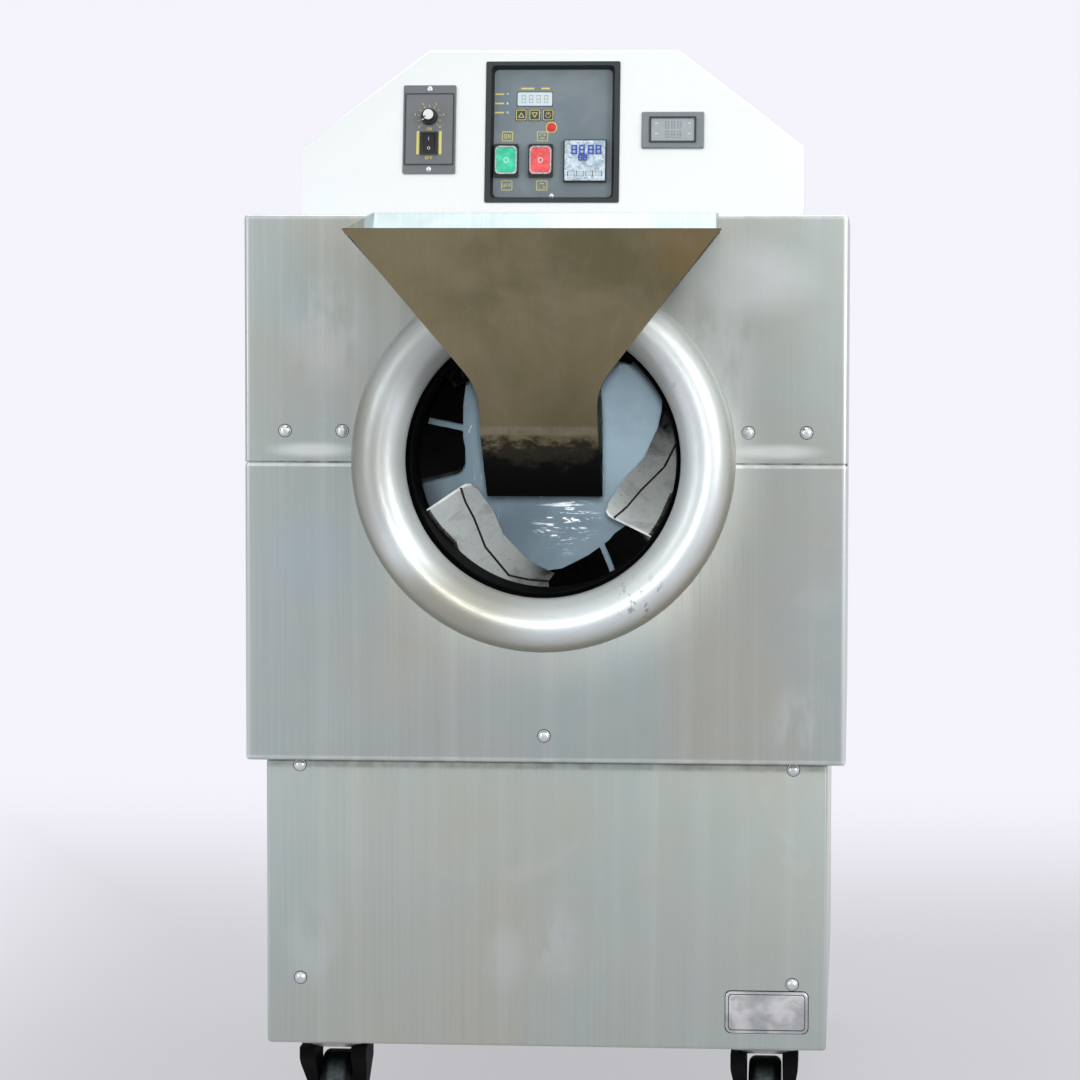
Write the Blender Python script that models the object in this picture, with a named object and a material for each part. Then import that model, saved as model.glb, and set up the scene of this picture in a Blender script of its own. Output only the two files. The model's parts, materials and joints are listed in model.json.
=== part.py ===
# Cocoa bean roaster: a floor-standing sheet steel machine on four casters, with a rotating drum
# that is filled through a lift-off hopper and a round mouth in its front.
# Metres, +Z up, the front faces -Y. The origin is on the floor under the middle of the machine.

import math

import bmesh
import bpy
from mathutils import Matrix, Vector

# Shared sizes and counts
gap = 0.0003
overrun = 0.003
sheet = 0.0015
bend = 0.004
edge_round = 0.003
round_share = 0.5
bend_steps = 3
corner_steps = 2
smooth_angle = math.radians(31)
turn_steps = 40
hidden_steps = 28
small_steps = 18
fine_steps = 12
hex_steps = 6

# Overall sizes
body_width = 0.600
body_depth = 0.800
cabinet_side_step = 0.018
cabinet_height = 0.290
cabinet_setback = 0.020
caster_height = 0.108

# Casing
seam_axis_drop = 0.0045
seam_gap = 0.002
lap_height = 0.045
pan_return = 0.015
shell_flange = 0.018
frame_gap = 0.003
mouth_hole_radius = 0.152
vent_length = 0.070
vent_width = 0.004
vent_pitch = 0.016
vent_rows = 4
vent_height = 0.060
vent_setback = 0.150

# Louvres in the rear panels
louvre_length = 0.080
louvre_height = 0.012
louvre_rise = 0.006
louvre_pitch = 0.026
louvre_spread = 0.120
louvre_rows = 4

# Mouth ring
ring_top_gap = 0.052
ring_outer_radius = 0.190
ring_inner_radius = 0.1365
ring_protrusion = 0.052
ring_sheet = 0.002
ring_lip = 0.005
ring_arc_steps = 9
ring_inner_steps = 4
ring_turn_steps = 44

# Drum
drum_side_gap = 0.105
drum_top_gap = 0.047
drum_floor_gap = 0.108
drum_wall = 0.002
drum_rear_wall = 0.004
collar_radius = 0.1335
collar_start = 0.012
track_start = 0.012
track_width = 0.024
track_rise = 0.012
collar_length = 0.060
cone_length = 0.065
drum_length = 0.455
hub_radius = 0.036
hub_length = 0.018

# Lifting flights, by the places along each row: the depth, the turns about the axis of the wall,
# the fold and the lip, and the heights of the fold and the lip over the drum's wall. The depths
# count from the body's front face in the front row and back from the drum's rear in the rear row.
flight_count = 3
flight_sheet = 0.0025
flight_steps = 2
flight_corner_share = 0.6
flight_corner_turns = (math.radians(20), math.radians(45), math.radians(90))
front_flight_start = 0.018
front_flight_end = 0.040
front_flight_depths = (front_flight_start, collar_length, collar_length + cone_length,
                       collar_length + cone_length + front_flight_end)
front_wall_turns = (math.radians(-157), math.radians(-138), math.radians(-108),
                    math.radians(-92))
front_fold_turns = (math.radians(-162), math.radians(-142), math.radians(-111),
                    math.radians(-94.5))
front_fold_heights = (0.0415, 0.0335, 0.0600, 0.0590)
front_lip_turns = (math.radians(-164), math.radians(-139), math.radians(-106.5),
                   math.radians(-92))
front_lip_heights = (0.0570, 0.0535, 0.0825, 0.0675)
rear_flight_setbacks = (0.205, 0.120, 0.035)
rear_wall_turns = (math.radians(-166), math.radians(-194), math.radians(-222))
rear_fold_turns = (math.radians(-166), math.radians(-195), math.radians(-223))
rear_fold_heights = (0.0800, 0.0570, 0.0300)
rear_lip_turns = (math.radians(-169), math.radians(-199), math.radians(-227))
rear_lip_heights = (0.0940, 0.0720, 0.0410)
flight_slot_width = 0.007
flight_slot_height = 0.041
flight_slot_turn = math.radians(-190)

# Drum shaft, bearing and drive
shaft_radius = 0.0175
shaft_nose = 0.004
shaft_flange_radius = 0.034
shaft_flange_width = 0.008
bearing_start = 0.500
bearing_width = 0.034
bearing_height = 0.0429
bearing_base_width = 0.150
bearing_base_height = 0.016
bearing_arch_radius = 0.038
gearbox_start = 0.585
gearbox_size = 0.104
gearbox_length = 0.064
gearbox_round = 0.006
gearbox_boss_radius = 0.026
gearbox_boss_length = 0.006
gearbox_offset = 0.018
shaft_engagement = 0.040
motor_radius = 0.050
motor_length = 0.118
motor_rib_depth = 0.003
motor_ribs = 3
cowl_radius = 0.0515
cowl_length = 0.030
terminal_box_size = Vector((0.062, 0.058, 0.026))

# Support rollers under the drum collar
roller_radius = 0.0245
roller_width = 0.020
roller_angle = math.radians(40)
roller_pin_radius = 0.006
roller_chamfer = 0.001

# Heating and insulation
sleeve_clearance = 0.008
sleeve_thickness = 0.022
sleeve_start = 0.135
sleeve_length = 0.315
coil_thickness = 0.007
coil_inset = 0.030
probe_radius = 0.003
probe_inset = 0.012
probe_stickout = 0.030
probe_nut_radius = 0.009
probe_nut_height = 0.008

# Inner frame
tube = 0.025
frame_side_gap = 0.022
front_post_y = 0.0535
rear_post_y = 0.518
base_rail_end = 0.745
cradle_drop = 0.201
bracket_plate = 0.006
bracket_start = 0.040
bracket_half_width = 0.150
bracket_drop = 0.112
bracket_relief = 0.004
saddle_inset = 0.050
saddle_drop = 0.120
saddle_web = 0.020
pedestal_half_width = 0.078
shelf_plate = 0.008
gusset_plate = 0.006
shelf_length = 0.150

# Induction power unit in the cabinet
unit_size = Vector((0.300, 0.220, 0.120))
unit_start = 0.200
unit_round = 0.004
fin_count = 9
fin_depth = 0.022
fin_width = 0.004
fin_margin = 0.020

# Hopper. Reaches are measured from the body's front face, drops from its top edge, and heights
# from the drum's axis.
hopper_reach = 0.172
hopper_rim_drop = 0.015
hopper_half_width = 0.180
hopper_back_half_width = 0.1705
hopper_sheet = 0.0015
hopper_fold_reach = 0.072
hopper_fold_height = 0.028
hopper_lip_depth = 0.006
hopper_lip_height = -0.037
hopper_back_reach = 0.0585
hopper_back_drop = 0.060
spout_half_width = 0.0575
spout_top_height = 0.134
spout_height = 0.075
spout_corner_radius = 0.060
spout_corner_steps = 6
taper_end_height = 0.067
hook_length = 0.016
hem_height = 0.008
hem_rise = 0.001

# Console
console_setback = 0.085
console_side_step = 0.046
console_top_half_width = 0.127
console_face = 0.170
console_shoulder = 0.071
console_depth = 0.115
console_tilt = math.radians(10)
console_round = 0.002
console_vents = 4

# Control tray, placed on the console face by its middle and its height above the base line
tray_width = 0.1363
tray_height = 0.1450
tray_middle = 0.0858
tray_rim = (0.0054, 0.0040)
tray_wall = 0.0015
tray_rim_rise = 0.002
tray_depth = 0.009
tray_floor = 0.0025
tray_draft = 0.003
tray_corner = 0.0015
tray_recess_corner = 0.004
panel_fit = 0.001

# Pieces in the tray, by their middle and their height above the console's base line
display_place = (-0.0188, 0.1213)
display_size = (0.0352, 0.0137)
display_thickness = 0.003
display_rise = 0.0004
key_size = (0.0110, 0.0114)
key_places = {"key_up": -0.0325, "key_down": -0.0188, "key_power": -0.0051}
key_height = 0.1047
key_thickness = 0.0035
key_rise = 0.0008
key_corner = 0.0012
switch_places = {"heater": -0.0469, "direction": -0.0119}
switch_height = 0.0574
switch_frame = (0.0252, 0.0344)
switch_opening = (0.0208, 0.0272)
switch_frame_rise = 0.003
switch_corner = 0.002
switch_shell = 0.0008
switch_body_depth = 0.020
switch_pivot_depth = 0.0015
rocker_rise = 0.0045
rocker_valley = 0.0032
rocker_depth = 0.0075
rocker_fit = 0.0004
controller_place = (0.0330, 0.0569)
controller_size = 0.0434
controller_rise = 0.005
controller_round = 0.001
controller_body = 0.0380
controller_body_depth = 0.045
controller_window = (0.0350, 0.0200)
controller_window_shift = 0.0070
controller_recess = 0.0008
controller_key_size = (0.0066, 0.0044)
controller_key_pitch = 0.0092
controller_key_shift = -0.0135
controller_key_count = 4
controller_key_thickness = 0.003
controller_key_rise = 0.0006
controller_key_corner = 0.0008

# Speed controller on the left of the console
speed_place = (-0.1249, 0.0882)
speed_size = (0.0536, 0.0906)
speed_thickness = 0.0035
speed_corner = 0.0015
speed_body = (0.0460, 0.0700)
speed_body_depth = 0.055
speed_face = (0.0490, 0.0728)
speed_face_rise = 0.0006
speed_switch_frame = (0.0189, 0.0236)
speed_switch_opening = (0.0126, 0.0208)
speed_switch_drop = -0.0147
speed_switch_rise = 0.0016
speed_pivot_depth = 0.0012
speed_rocker_rise = 0.0032
speed_rocker_valley = 0.0022
speed_rocker_depth = 0.0058
rocker_throw = math.radians(12)
knob_height = 0.0125
knob_skirt_radius = 0.0084
knob_skirt_height = 0.0050
knob_cap_radius = 0.0057
knob_cap_height = 0.0130
knob_spindle_radius = 0.0030
knob_spindle_length = 0.0060
knob_round = 0.0008
knob_pointer_width = 0.0012
knob_pointer_angle = math.radians(-120)

# Power meter on the right of the console
meter_place = (0.1219, 0.0873)
meter_size = (0.0632, 0.0370)
meter_rise = 0.0045
meter_round = 0.0015
meter_frame = (0.0476, 0.0270)
meter_frame_rise = 0.0006
meter_window = (0.0437, 0.0231)
meter_window_depth = 0.0010
meter_body = (0.0560, 0.0320)
meter_body_depth = 0.030

# Casters
caster_inset = 0.0625
caster_front_inset = 0.062
caster_trail = 0.028
caster_plate = Vector((0.066, 0.080, 0.004))
caster_plate_corner = 0.006
raceway_radius = 0.027
raceway_height = 0.006
wheel_radius = 0.0427
wheel_width = 0.033
wheel_round = 0.007
wheel_hub_radius = 0.022
wheel_hub_recess = 0.003
axle_radius = 0.005
fork_crown = 0.004
fork_half_width = 0.034
fork_foot_half_width = 0.0265
fork_shoulder = 0.014
fork_side_gap = 0.002
fork_front = 0.030
fork_crown_front = 0.004
fork_rear = 0.037
fork_foot_radius = 0.012

# Cable gland at the back of the cabinet
gland_radius = 0.013
gland_nut_length = 0.008
gland_length = 0.022
gland_bore = 0.004
gland_side_inset = 0.082
gland_rise = 0.060

# Places worked out from the sizes above
body_half = body_width / 2
cabinet_half = body_half - cabinet_side_step
console_half_width = body_half - console_side_step
drum_radius = body_half - drum_side_gap
cabinet_bottom = caster_height
body_bottom = cabinet_bottom + cabinet_height
axis_z = body_bottom + drum_floor_gap + drum_radius
body_top = axis_z + max(ring_outer_radius + ring_top_gap, drum_radius + drum_top_gap)
seam = axis_z - seam_axis_drop
front = (hopper_reach - body_depth - louvre_rise) / 2
rear = front + body_depth
cabinet_front = front + cabinet_setback
cabinet_rear = rear - cabinet_setback
console_front = front + console_setback
sleeve_inner = drum_radius + sleeve_clearance
sleeve_outer = sleeve_inner + sleeve_thickness
coil_outer = sleeve_outer + gap + coil_thickness
track_radius = collar_radius + track_rise
frame_x = cabinet_half - frame_side_gap - tube / 2
cradle_top = axis_z - cradle_drop
axle_z = wheel_radius
crown_top = caster_height - gap - caster_plate.z - raceway_height - gap
drum_rear = front + drum_length
rear_flight_depths = tuple(drum_length - setback for setback in rear_flight_setbacks)
gearbox_z = axis_z - gearbox_offset
floor_y = tray_depth - tray_rim_rise


# Materials

def material(name, colour, roughness, metallic):
    """A plain Principled material."""
    made = bpy.data.materials.new(name)
    made.use_nodes = True
    shader = made.node_tree.nodes["Principled BSDF"]
    shader.inputs["Base Color"].default_value = (*colour, 1)
    shader.inputs["Roughness"].default_value = roughness
    shader.inputs["Metallic"].default_value = metallic
    return made


# Outlines

def arc(middle, radius, start, end, steps):
    """Points of an arc from the angle start to the angle end."""
    turns = [start + (end - start) * i / steps for i in range(steps + 1)]
    return [(middle[0] + radius * math.cos(t), middle[1] + radius * math.sin(t)) for t in turns]


def rectangle(width, height, radius=0, steps=corner_steps):
    """A rectangle about the origin, with round corners if a radius is given."""
    half_w = width / 2
    half_h = height / 2
    if radius == 0:
        return [(-half_w, -half_h), (half_w, -half_h), (half_w, half_h), (-half_w, half_h)]
    quarter = math.pi / 2
    corners = ((half_w, -half_h, -quarter), (half_w, half_h, 0),
               (-half_w, half_h, quarter), (-half_w, -half_h, math.pi))
    points = []
    for x, y, turn in corners:
        middle = (x - math.copysign(radius, x), y - math.copysign(radius, y))
        points += arc(middle, radius, turn, turn + quarter, steps)
    return points


def inset(points, distance):
    """A convex or concave outline, anticlockwise, moved inwards by a distance."""
    moved = []
    count = len(points)
    for i in range(count):
        before = Vector(points[i - 1])
        here = Vector(points[i])
        after = Vector(points[(i + 1) % count])
        one = (here - before).normalized()
        two = (after - here).normalized()
        normal_one = Vector((-one.y, one.x))
        normal_two = Vector((-two.y, two.x))
        bisector = (normal_one + normal_two).normalized()
        moved.append(tuple(here + bisector * distance / bisector.dot(normal_one)))
    return moved


# Solids

def on_axis(axis, point, height):
    """A point of an outline, set at a height along an axis."""
    a, b = point
    if axis == "X":
        return (height, a, b)
    if axis == "Y":
        return (a, height, b)
    return (a, b, height)


def loft(axis, first, low, last, high):
    """A closed solid between two outlines with as many points, at two heights along an axis."""
    bm = bmesh.new()
    lower = [bm.verts.new(on_axis(axis, point, low)) for point in first]
    upper = [bm.verts.new(on_axis(axis, point, high)) for point in last]
    bm.faces.new(lower)
    bm.faces.new(upper)
    count = len(lower)
    for i in range(count):
        j = (i + 1) % count
        bm.faces.new((lower[i], lower[j], upper[j], upper[i]))
    bmesh.ops.recalc_face_normals(bm, faces=bm.faces)
    return bm


def prism(axis, outline, low, high):
    """An outline extruded along an axis."""
    return loft(axis, outline, low, outline, high)


def block(x_low, x_high, y_low, y_high, z_low, z_high):
    """A box between two corners."""
    outline = [(x_low, y_low), (x_high, y_low), (x_high, y_high), (x_low, y_high)]
    return prism("Z", outline, z_low, z_high)


def turned(axis, profile, steps):
    """A closed profile of (radius, height) points, spun about an axis through the origin."""
    bm = bmesh.new()
    points = [bm.verts.new(on_axis(axis, (radius, 0), height)) for radius, height in profile]
    for i, point in enumerate(points):
        if max(profile[i - 1][0], profile[i][0]) > 0:
            bm.edges.new((points[i - 1], point))
    direction = {"X": (1, 0, 0), "Y": (0, 1, 0), "Z": (0, 0, 1)}[axis]
    bmesh.ops.spin(bm, geom=bm.verts[:] + bm.edges[:], cent=(0, 0, 0), axis=direction,
                   angle=2 * math.pi, steps=steps, use_merge=True)
    bmesh.ops.remove_doubles(bm, verts=bm.verts, dist=gap / 100)
    bmesh.ops.recalc_face_normals(bm, faces=bm.faces)
    return bm


def disc(axis, radius, low, high, steps=small_steps):
    """A cylinder about an axis through the origin."""
    outline = arc((0, 0), radius, 0, 2 * math.pi, steps)[:-1]
    return prism(axis, outline, low, high)


def moved(bm, offset):
    """The same solid, moved."""
    bmesh.ops.translate(bm, verts=bm.verts, vec=offset)
    return bm


def merged(*solids):
    """Several solids in one mesh, each still a body of its own."""
    whole = bmesh.new()
    for solid in solids:
        mesh = bpy.data.meshes.new("part")
        solid.to_mesh(mesh)
        solid.free()
        whole.from_mesh(mesh)
        bpy.data.meshes.remove(mesh)
    return whole


def round_edges(bm, test, radius, steps=bend_steps):
    """Rounds each edge whose two ends both pass the test."""
    edges = [edge for edge in bm.edges if all(test(vert.co) for vert in edge.verts)]
    bmesh.ops.bevel(bm, geom=edges, offset=radius, offset_type="OFFSET", segments=steps,
                    profile=round_share, affect="EDGES", clamp_overlap=True)
    return bm


def close_to(value, target):
    """True where two coordinates are the same."""
    return abs(value - target) < gap / 10


# Objects

def place(name, bm, look=None, parent=None, location=(0, 0, 0), rotation=(0, 0, 0)):
    """Puts a solid in the scene as a named object."""
    mesh = bpy.data.meshes.new(name)
    bm.to_mesh(mesh)
    bm.free()
    if look:
        mesh.materials.append(material(name, *look))
    obj = bpy.data.objects.new(name, mesh)
    obj.location = location
    obj.rotation_euler = rotation
    obj.parent = parent
    bpy.context.scene.collection.objects.link(obj)
    return obj


def combine(obj, operation, *solids):
    """Joins solids to an object, cuts them out or keeps what they share, and bakes the result."""
    tools = []
    for solid in solids:
        mesh = bpy.data.meshes.new("tool")
        solid.to_mesh(mesh)
        solid.free()
        tool = bpy.data.objects.new("tool", mesh)
        tool.parent = obj.parent
        tool.location = obj.location
        tool.rotation_euler = obj.rotation_euler
        bpy.context.scene.collection.objects.link(tool)
        modifier = obj.modifiers.new(operation, "BOOLEAN")
        modifier.operation = operation
        modifier.solver = "EXACT"
        modifier.object = tool
        tools.append(tool)
    graph = bpy.context.evaluated_depsgraph_get()
    plain = obj.data
    obj.data = bpy.data.meshes.new_from_object(obj.evaluated_get(graph), depsgraph=graph)
    obj.data.name = obj.name
    obj.modifiers.clear()
    bpy.data.meshes.remove(plain)
    for tool in tools:
        bpy.data.meshes.remove(tool.data)
    return obj


def taken(obj):
    """The solid of an object in world places. The object leaves the scene."""
    bpy.context.view_layer.update()
    bm = bmesh.new()
    bm.from_mesh(obj.data)
    bm.transform(obj.matrix_world)
    bpy.data.meshes.remove(obj.data)
    return bm


def smooth(obj):
    """Shades the round faces of an object smooth."""
    obj.data.shade_smooth()
    obj.data.set_sharp_from_angle(angle=smooth_angle)
    return obj


# Casing shells

def casing_form(step, y_rear, z_low, z_high, top_step=None, bottom_step=None):
    """The body's outline, moved in by a step: its front corners are round, and so are its top
    and bottom edges where they get a step of their own."""
    half = body_half - step
    y_front = front + step
    corner = max(bend - step, gap)
    outline = arc((half - corner, y_front + corner), corner, 0, -math.pi / 2, bend_steps)
    outline += arc((corner - half, y_front + corner), corner, -math.pi / 2, -math.pi, bend_steps)
    outline += [(-half, y_rear), (half, y_rear)]
    bm = prism("Z", outline[::-1], z_low, z_high)
    for level, own in ((z_high, top_step), (z_low, bottom_step)):
        if own is not None:
            radius = max(edge_round - own, gap)

            def on_rim(point, level=level):
                return close_to(point.z, level) and not close_to(point.y, y_rear)

            edges = [edge for edge in bm.edges
                     if all(close_to(vert.co.z, level) for vert in edge.verts)
                     and any(on_rim(vert.co) for vert in edge.verts)]
            bmesh.ops.bevel(bm, geom=edges, offset=radius, offset_type="OFFSET",
                            segments=bend_steps, profile=round_share, affect="EDGES",
                            clamp_overlap=True)
    return bm


def mouth_cutter():
    """The round hole in the front for the drum's collar."""
    return moved(disc("Y", mouth_hole_radius, front - overrun, front + lap_height, turn_steps),
                 (0, 0, axis_z))


shell_end = rear - pan_return - 2 * gap


def floor_window(low, high):
    """The way between the cabinet and the body, which the inner frame stands in."""
    half = cabinet_half - shell_flange
    return block(-half, half, front + front_post_y - tube / 2 - frame_gap,
                 cabinet_rear - pan_return - shell_flange, low, high)


def make_upper_cover(look):
    """The top, the upper front and the upper sides, bent from one sheet."""
    low = seam + seam_gap / 2
    cover = place("upper_cover", casing_form(0, shell_end, low, body_top, top_step=0), look)
    inside = casing_form(sheet, shell_end + overrun, low - overrun, body_top - sheet,
                         top_step=sheet)
    combine(cover, "DIFFERENCE", inside, mouth_cutter())
    return smooth(cover)


def make_lower_shell(look):
    """The lower front, the lower sides and the floor, with a lap that stands up behind the seam."""
    high = seam - seam_gap / 2
    shell = place("lower_shell", casing_form(0, shell_end, body_bottom, high, bottom_step=0), look)
    inside = casing_form(sheet, shell_end + overrun, body_bottom + sheet, high + overrun,
                         bottom_step=sheet)
    window = floor_window(body_bottom - overrun, body_bottom + sheet + overrun)
    combine(shell, "DIFFERENCE", inside, window)
    lap = place("lap", casing_form(sheet / 2, shell_end - gap, seam - lap_height,
                                   seam + lap_height))
    hollow = casing_form(2 * sheet + gap, shell_end + overrun, seam - lap_height - overrun,
                         seam + lap_height + overrun)
    combine(lap, "DIFFERENCE", hollow)
    outside = place("outside", casing_form(-overrun, shell_end + overrun, high,
                                           seam + lap_height + overrun))
    core = casing_form(sheet + gap, shell_end + 2 * overrun, high - overrun,
                       seam + lap_height + 2 * overrun)
    combine(outside, "DIFFERENCE", core)
    combine(lap, "DIFFERENCE", taken(outside))
    combine(shell, "UNION", taken(lap))
    combine(shell, "DIFFERENCE", mouth_cutter())
    return smooth(shell)


def pan(name, look, half_width, z_low, z_high, y_face, y_back):
    """A panel with a round rim and returns that reach back to y_back."""
    def form(step, y_start, y_end, corner, radius):
        outline = rectangle(2 * (half_width - step), z_high - z_low - 2 * step, corner,
                            bend_steps)
        bm = moved(prism("Y", outline, y_start, y_end), (0, 0, (z_low + z_high) / 2))
        return round_edges(bm, lambda point: close_to(point.y, y_start), radius)

    inward = math.copysign(1, y_back - y_face)
    panel = place(name, form(0, y_face, y_back, bend, edge_round), look)
    inside = form(sheet, y_face + inward * sheet, y_back + inward * overrun, bend - sheet,
                  edge_round - sheet)
    combine(panel, "DIFFERENCE", inside)
    return panel


def add_louvres(panel, y_face, z_middle):
    """Two columns of louvres, open at their lower edge, pressed out of a rear panel."""
    hoods = []
    slots = []
    span = louvre_pitch * (louvre_rows - 1)
    for side in (-1, 1):
        for row in range(louvre_rows):
            top = z_middle - span / 2 + row * louvre_pitch + louvre_height / 2
            low = top - louvre_height
            hood = [(y_face - sheet / 2, low), (y_face + louvre_rise, low),
                    (y_face + louvre_rise, low + sheet), (y_face - sheet / 2, top)]
            slot_face = y_face + louvre_rise - sheet
            slot = [(y_face - sheet - overrun, low - sheet), (slot_face, low - sheet),
                    (slot_face, low + sheet / 2), (y_face, top - 2 * sheet),
                    (y_face - sheet - overrun, top - 2 * sheet)]
            left = side * louvre_spread - louvre_length / 2
            right = left + louvre_length
            hoods.append(prism("X", hood, left, right))
            slots.append(prism("X", slot, left + sheet, right - sheet))
    combine(panel, "UNION", merged(*hoods))
    combine(panel, "DIFFERENCE", merged(*slots))
    return panel


def make_cabinet_shell(look):
    """The cabinet's sides and floor, with flanges for the two panels and the body."""
    y_low = cabinet_front + pan_return + 2 * gap
    y_high = cabinet_rear - pan_return - 2 * gap
    high = body_bottom - gap
    shell = place("cabinet_shell", block(-cabinet_half, cabinet_half, y_low, y_high,
                                         cabinet_bottom, high), look)
    hollow = block(sheet - cabinet_half, cabinet_half - sheet, y_low + sheet, y_high - sheet,
                   cabinet_bottom + sheet, high - sheet)
    in_half = cabinet_half - shell_flange
    window = block(-in_half, in_half, y_low - overrun, y_high + overrun,
                   cabinet_bottom + shell_flange, high - shell_flange)
    hatch = floor_window(high - sheet - overrun, high + overrun)
    vents = []
    for row in range(vent_rows):
        slot = rectangle(vent_length, vent_width, vent_width / 2 - gap)
        vent = prism("X", slot, -body_half, body_half)
        vents.append(moved(vent, (0, y_high - vent_setback,
                                  cabinet_bottom + vent_height + row * vent_pitch)))
    return combine(shell, "DIFFERENCE", hollow, window, hatch, merged(*vents))


# Mouth ring and drum

def make_mouth_ring(look):
    """A spun ring: a straight skirt, a round crest and a lip that turns back into the mouth."""
    tube_radius = (ring_outer_radius - ring_inner_radius) / 2
    middle = (ring_outer_radius - tube_radius, tube_radius - ring_protrusion)
    outer = [(ring_outer_radius, -gap)]
    outer += arc(middle, tube_radius, 0, -math.pi, ring_arc_steps)
    outer += [(ring_inner_radius, middle[1] + ring_lip)]
    inner = [(ring_inner_radius + ring_sheet, middle[1] + ring_lip)]
    inner += arc(middle, tube_radius - ring_sheet, -math.pi, 0, ring_inner_steps)
    inner += [(ring_outer_radius - ring_sheet, -gap)]
    bm = turned("Y", outer + inner, ring_turn_steps)
    return smooth(place("mouth_ring", bm, look, location=(0, front, axis_z)))


def drum_inner_radius(depth):
    """The radius inside the drum's wall at a depth behind the body's front face."""
    cone_end = collar_length + cone_length
    share = min(max((depth - collar_length) / (cone_end - collar_length), 0), 1)
    return collar_radius - drum_wall + share * (drum_radius - collar_radius)


def make_drum(look):
    """The drum: a collar with its roller track, a cone, the barrel and the rear wall with its hub."""
    cone_end = collar_length + cone_length
    bore = shaft_radius + gap
    in_collar = collar_radius - drum_wall
    in_drum = drum_radius - drum_wall
    inner_rear = drum_length - drum_rear_wall
    profile = [(collar_radius, -collar_start), (collar_radius, track_start),
               (track_radius, track_start), (track_radius, track_start + track_width),
               (collar_radius, track_start + track_width), (collar_radius, collar_length),
               (drum_radius, cone_end), (drum_radius, drum_length), (hub_radius, drum_length),
               (hub_radius, drum_length + hub_length), (bore, drum_length + hub_length),
               (bore, inner_rear), (in_drum, inner_rear), (in_drum, cone_end),
               (in_collar, collar_length), (in_collar, -collar_start)]
    bm = turned("Y", profile, turn_steps)
    return smooth(place("drum", bm, look, location=(0, front, axis_z)))


def flight_stations(*rows):
    """What describes a flight at each place along it. Its near end has closer places that round
    the lip's first corner."""
    stations = []
    for i in range(len(rows[0]) - 1):
        for j in range(flight_steps):
            share = j / flight_steps
            stations.append([row[i] + share * (row[i + 1] - row[i]) for row in rows])
    stations.append([row[-1] for row in rows])
    corner = []
    for turn in flight_corner_turns:
        share = flight_corner_share * (1 - math.cos(turn))
        depth, wall_turn, fold_turn, fold, lip_turn, lip = [
            a + share * (b - a) for a, b in zip(stations[0], stations[1])]
        lip_turn = fold_turn + (lip_turn - fold_turn) * math.sin(turn)
        lip = fold + (lip - fold) * math.sin(turn)
        corner.append([depth, wall_turn, fold_turn, fold, lip_turn, lip])
    return corner + stations[1:]


def flight_solid(stations, turn):
    """A folded plate that runs askew along the drum's wall, turned about the drum's axis."""
    bm = bmesh.new()
    rings = []
    hand = math.copysign(1, stations[-1][1] - stations[0][1])
    for depth, wall_turn, fold_turn, fold_height, lip_turn, lip_height in stations:
        drum_wall_radius = drum_inner_radius(depth)
        reach = drum_wall_radius * math.cos(math.pi / turn_steps) - 2 * gap
        wall = math.sqrt(reach ** 2 - flight_sheet ** 2)
        fold = drum_wall_radius - fold_height
        lip = drum_wall_radius - lip_height
        section = ((wall, wall_turn, 0), (fold, fold_turn, 0), (lip, lip_turn, 0),
                   (lip, lip_turn, flight_sheet), (fold, fold_turn, flight_sheet),
                   (wall, wall_turn, flight_sheet))
        ring = []
        for radius, angle, offset in section:
            outward = Vector((math.cos(angle + turn), math.sin(angle + turn)))
            flat = outward * radius + Vector((-outward.y, outward.x)) * offset * hand
            ring.append(bm.verts.new((flat.x, depth, flat.y)))
        rings.append(ring)
    bm.faces.new(rings[0])
    bm.faces.new(rings[-1])
    count = len(rings[0])
    for one, two in zip(rings, rings[1:]):
        for i in range(count):
            j = (i + 1) % count
            bm.faces.new((one[i], one[j], two[j], two[i]))
    bmesh.ops.triangulate(bm, faces=bm.faces)
    bmesh.ops.recalc_face_normals(bm, faces=bm.faces)
    return bm


def make_flights(look):
    """Two rows of flights that run askew in opposite ways. A slot parts the lips of the rear row."""
    front_row = flight_stations(front_flight_depths, front_wall_turns, front_fold_turns,
                                front_fold_heights, front_lip_turns, front_lip_heights)
    rear_row = flight_stations(rear_flight_depths, rear_wall_turns, rear_fold_turns,
                               rear_fold_heights, rear_lip_turns, rear_lip_heights)
    half = flight_slot_width / 2
    slot_end = drum_radius - drum_wall - flight_slot_height
    for i in range(flight_count):
        turn = i * 2 * math.pi / flight_count
        place(f"front_flight_{i + 1}", flight_solid(front_row, turn), look,
              location=(0, front, axis_z))
        flight = place(f"rear_flight_{i + 1}", flight_solid(rear_row, turn), look,
                       location=(0, front, axis_z))
        slot = block(0, slot_end, rear_flight_depths[0], rear_flight_depths[-1], -half, half)
        bmesh.ops.rotate(slot, verts=slot.verts,
                         matrix=Matrix.Rotation(-flight_slot_turn - turn, 3, "Y"))
        combine(flight, "DIFFERENCE", slot)


# Drive

def make_drum_shaft(look):
    """The shaft, with the flange that bolts to the drum's hub."""
    start = drum_length - drum_rear_wall - shaft_nose
    seat = drum_length + hub_length + gap
    end = gearbox_start + shaft_engagement
    profile = [(0, start), (shaft_radius, start), (shaft_radius, seat),
               (shaft_flange_radius, seat), (shaft_flange_radius, seat + shaft_flange_width),
               (shaft_radius, seat + shaft_flange_width), (shaft_radius, end), (0, end)]
    bm = turned("Y", profile, small_steps)
    return smooth(place("drum_shaft", bm, look, location=(0, front, axis_z)))


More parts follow.
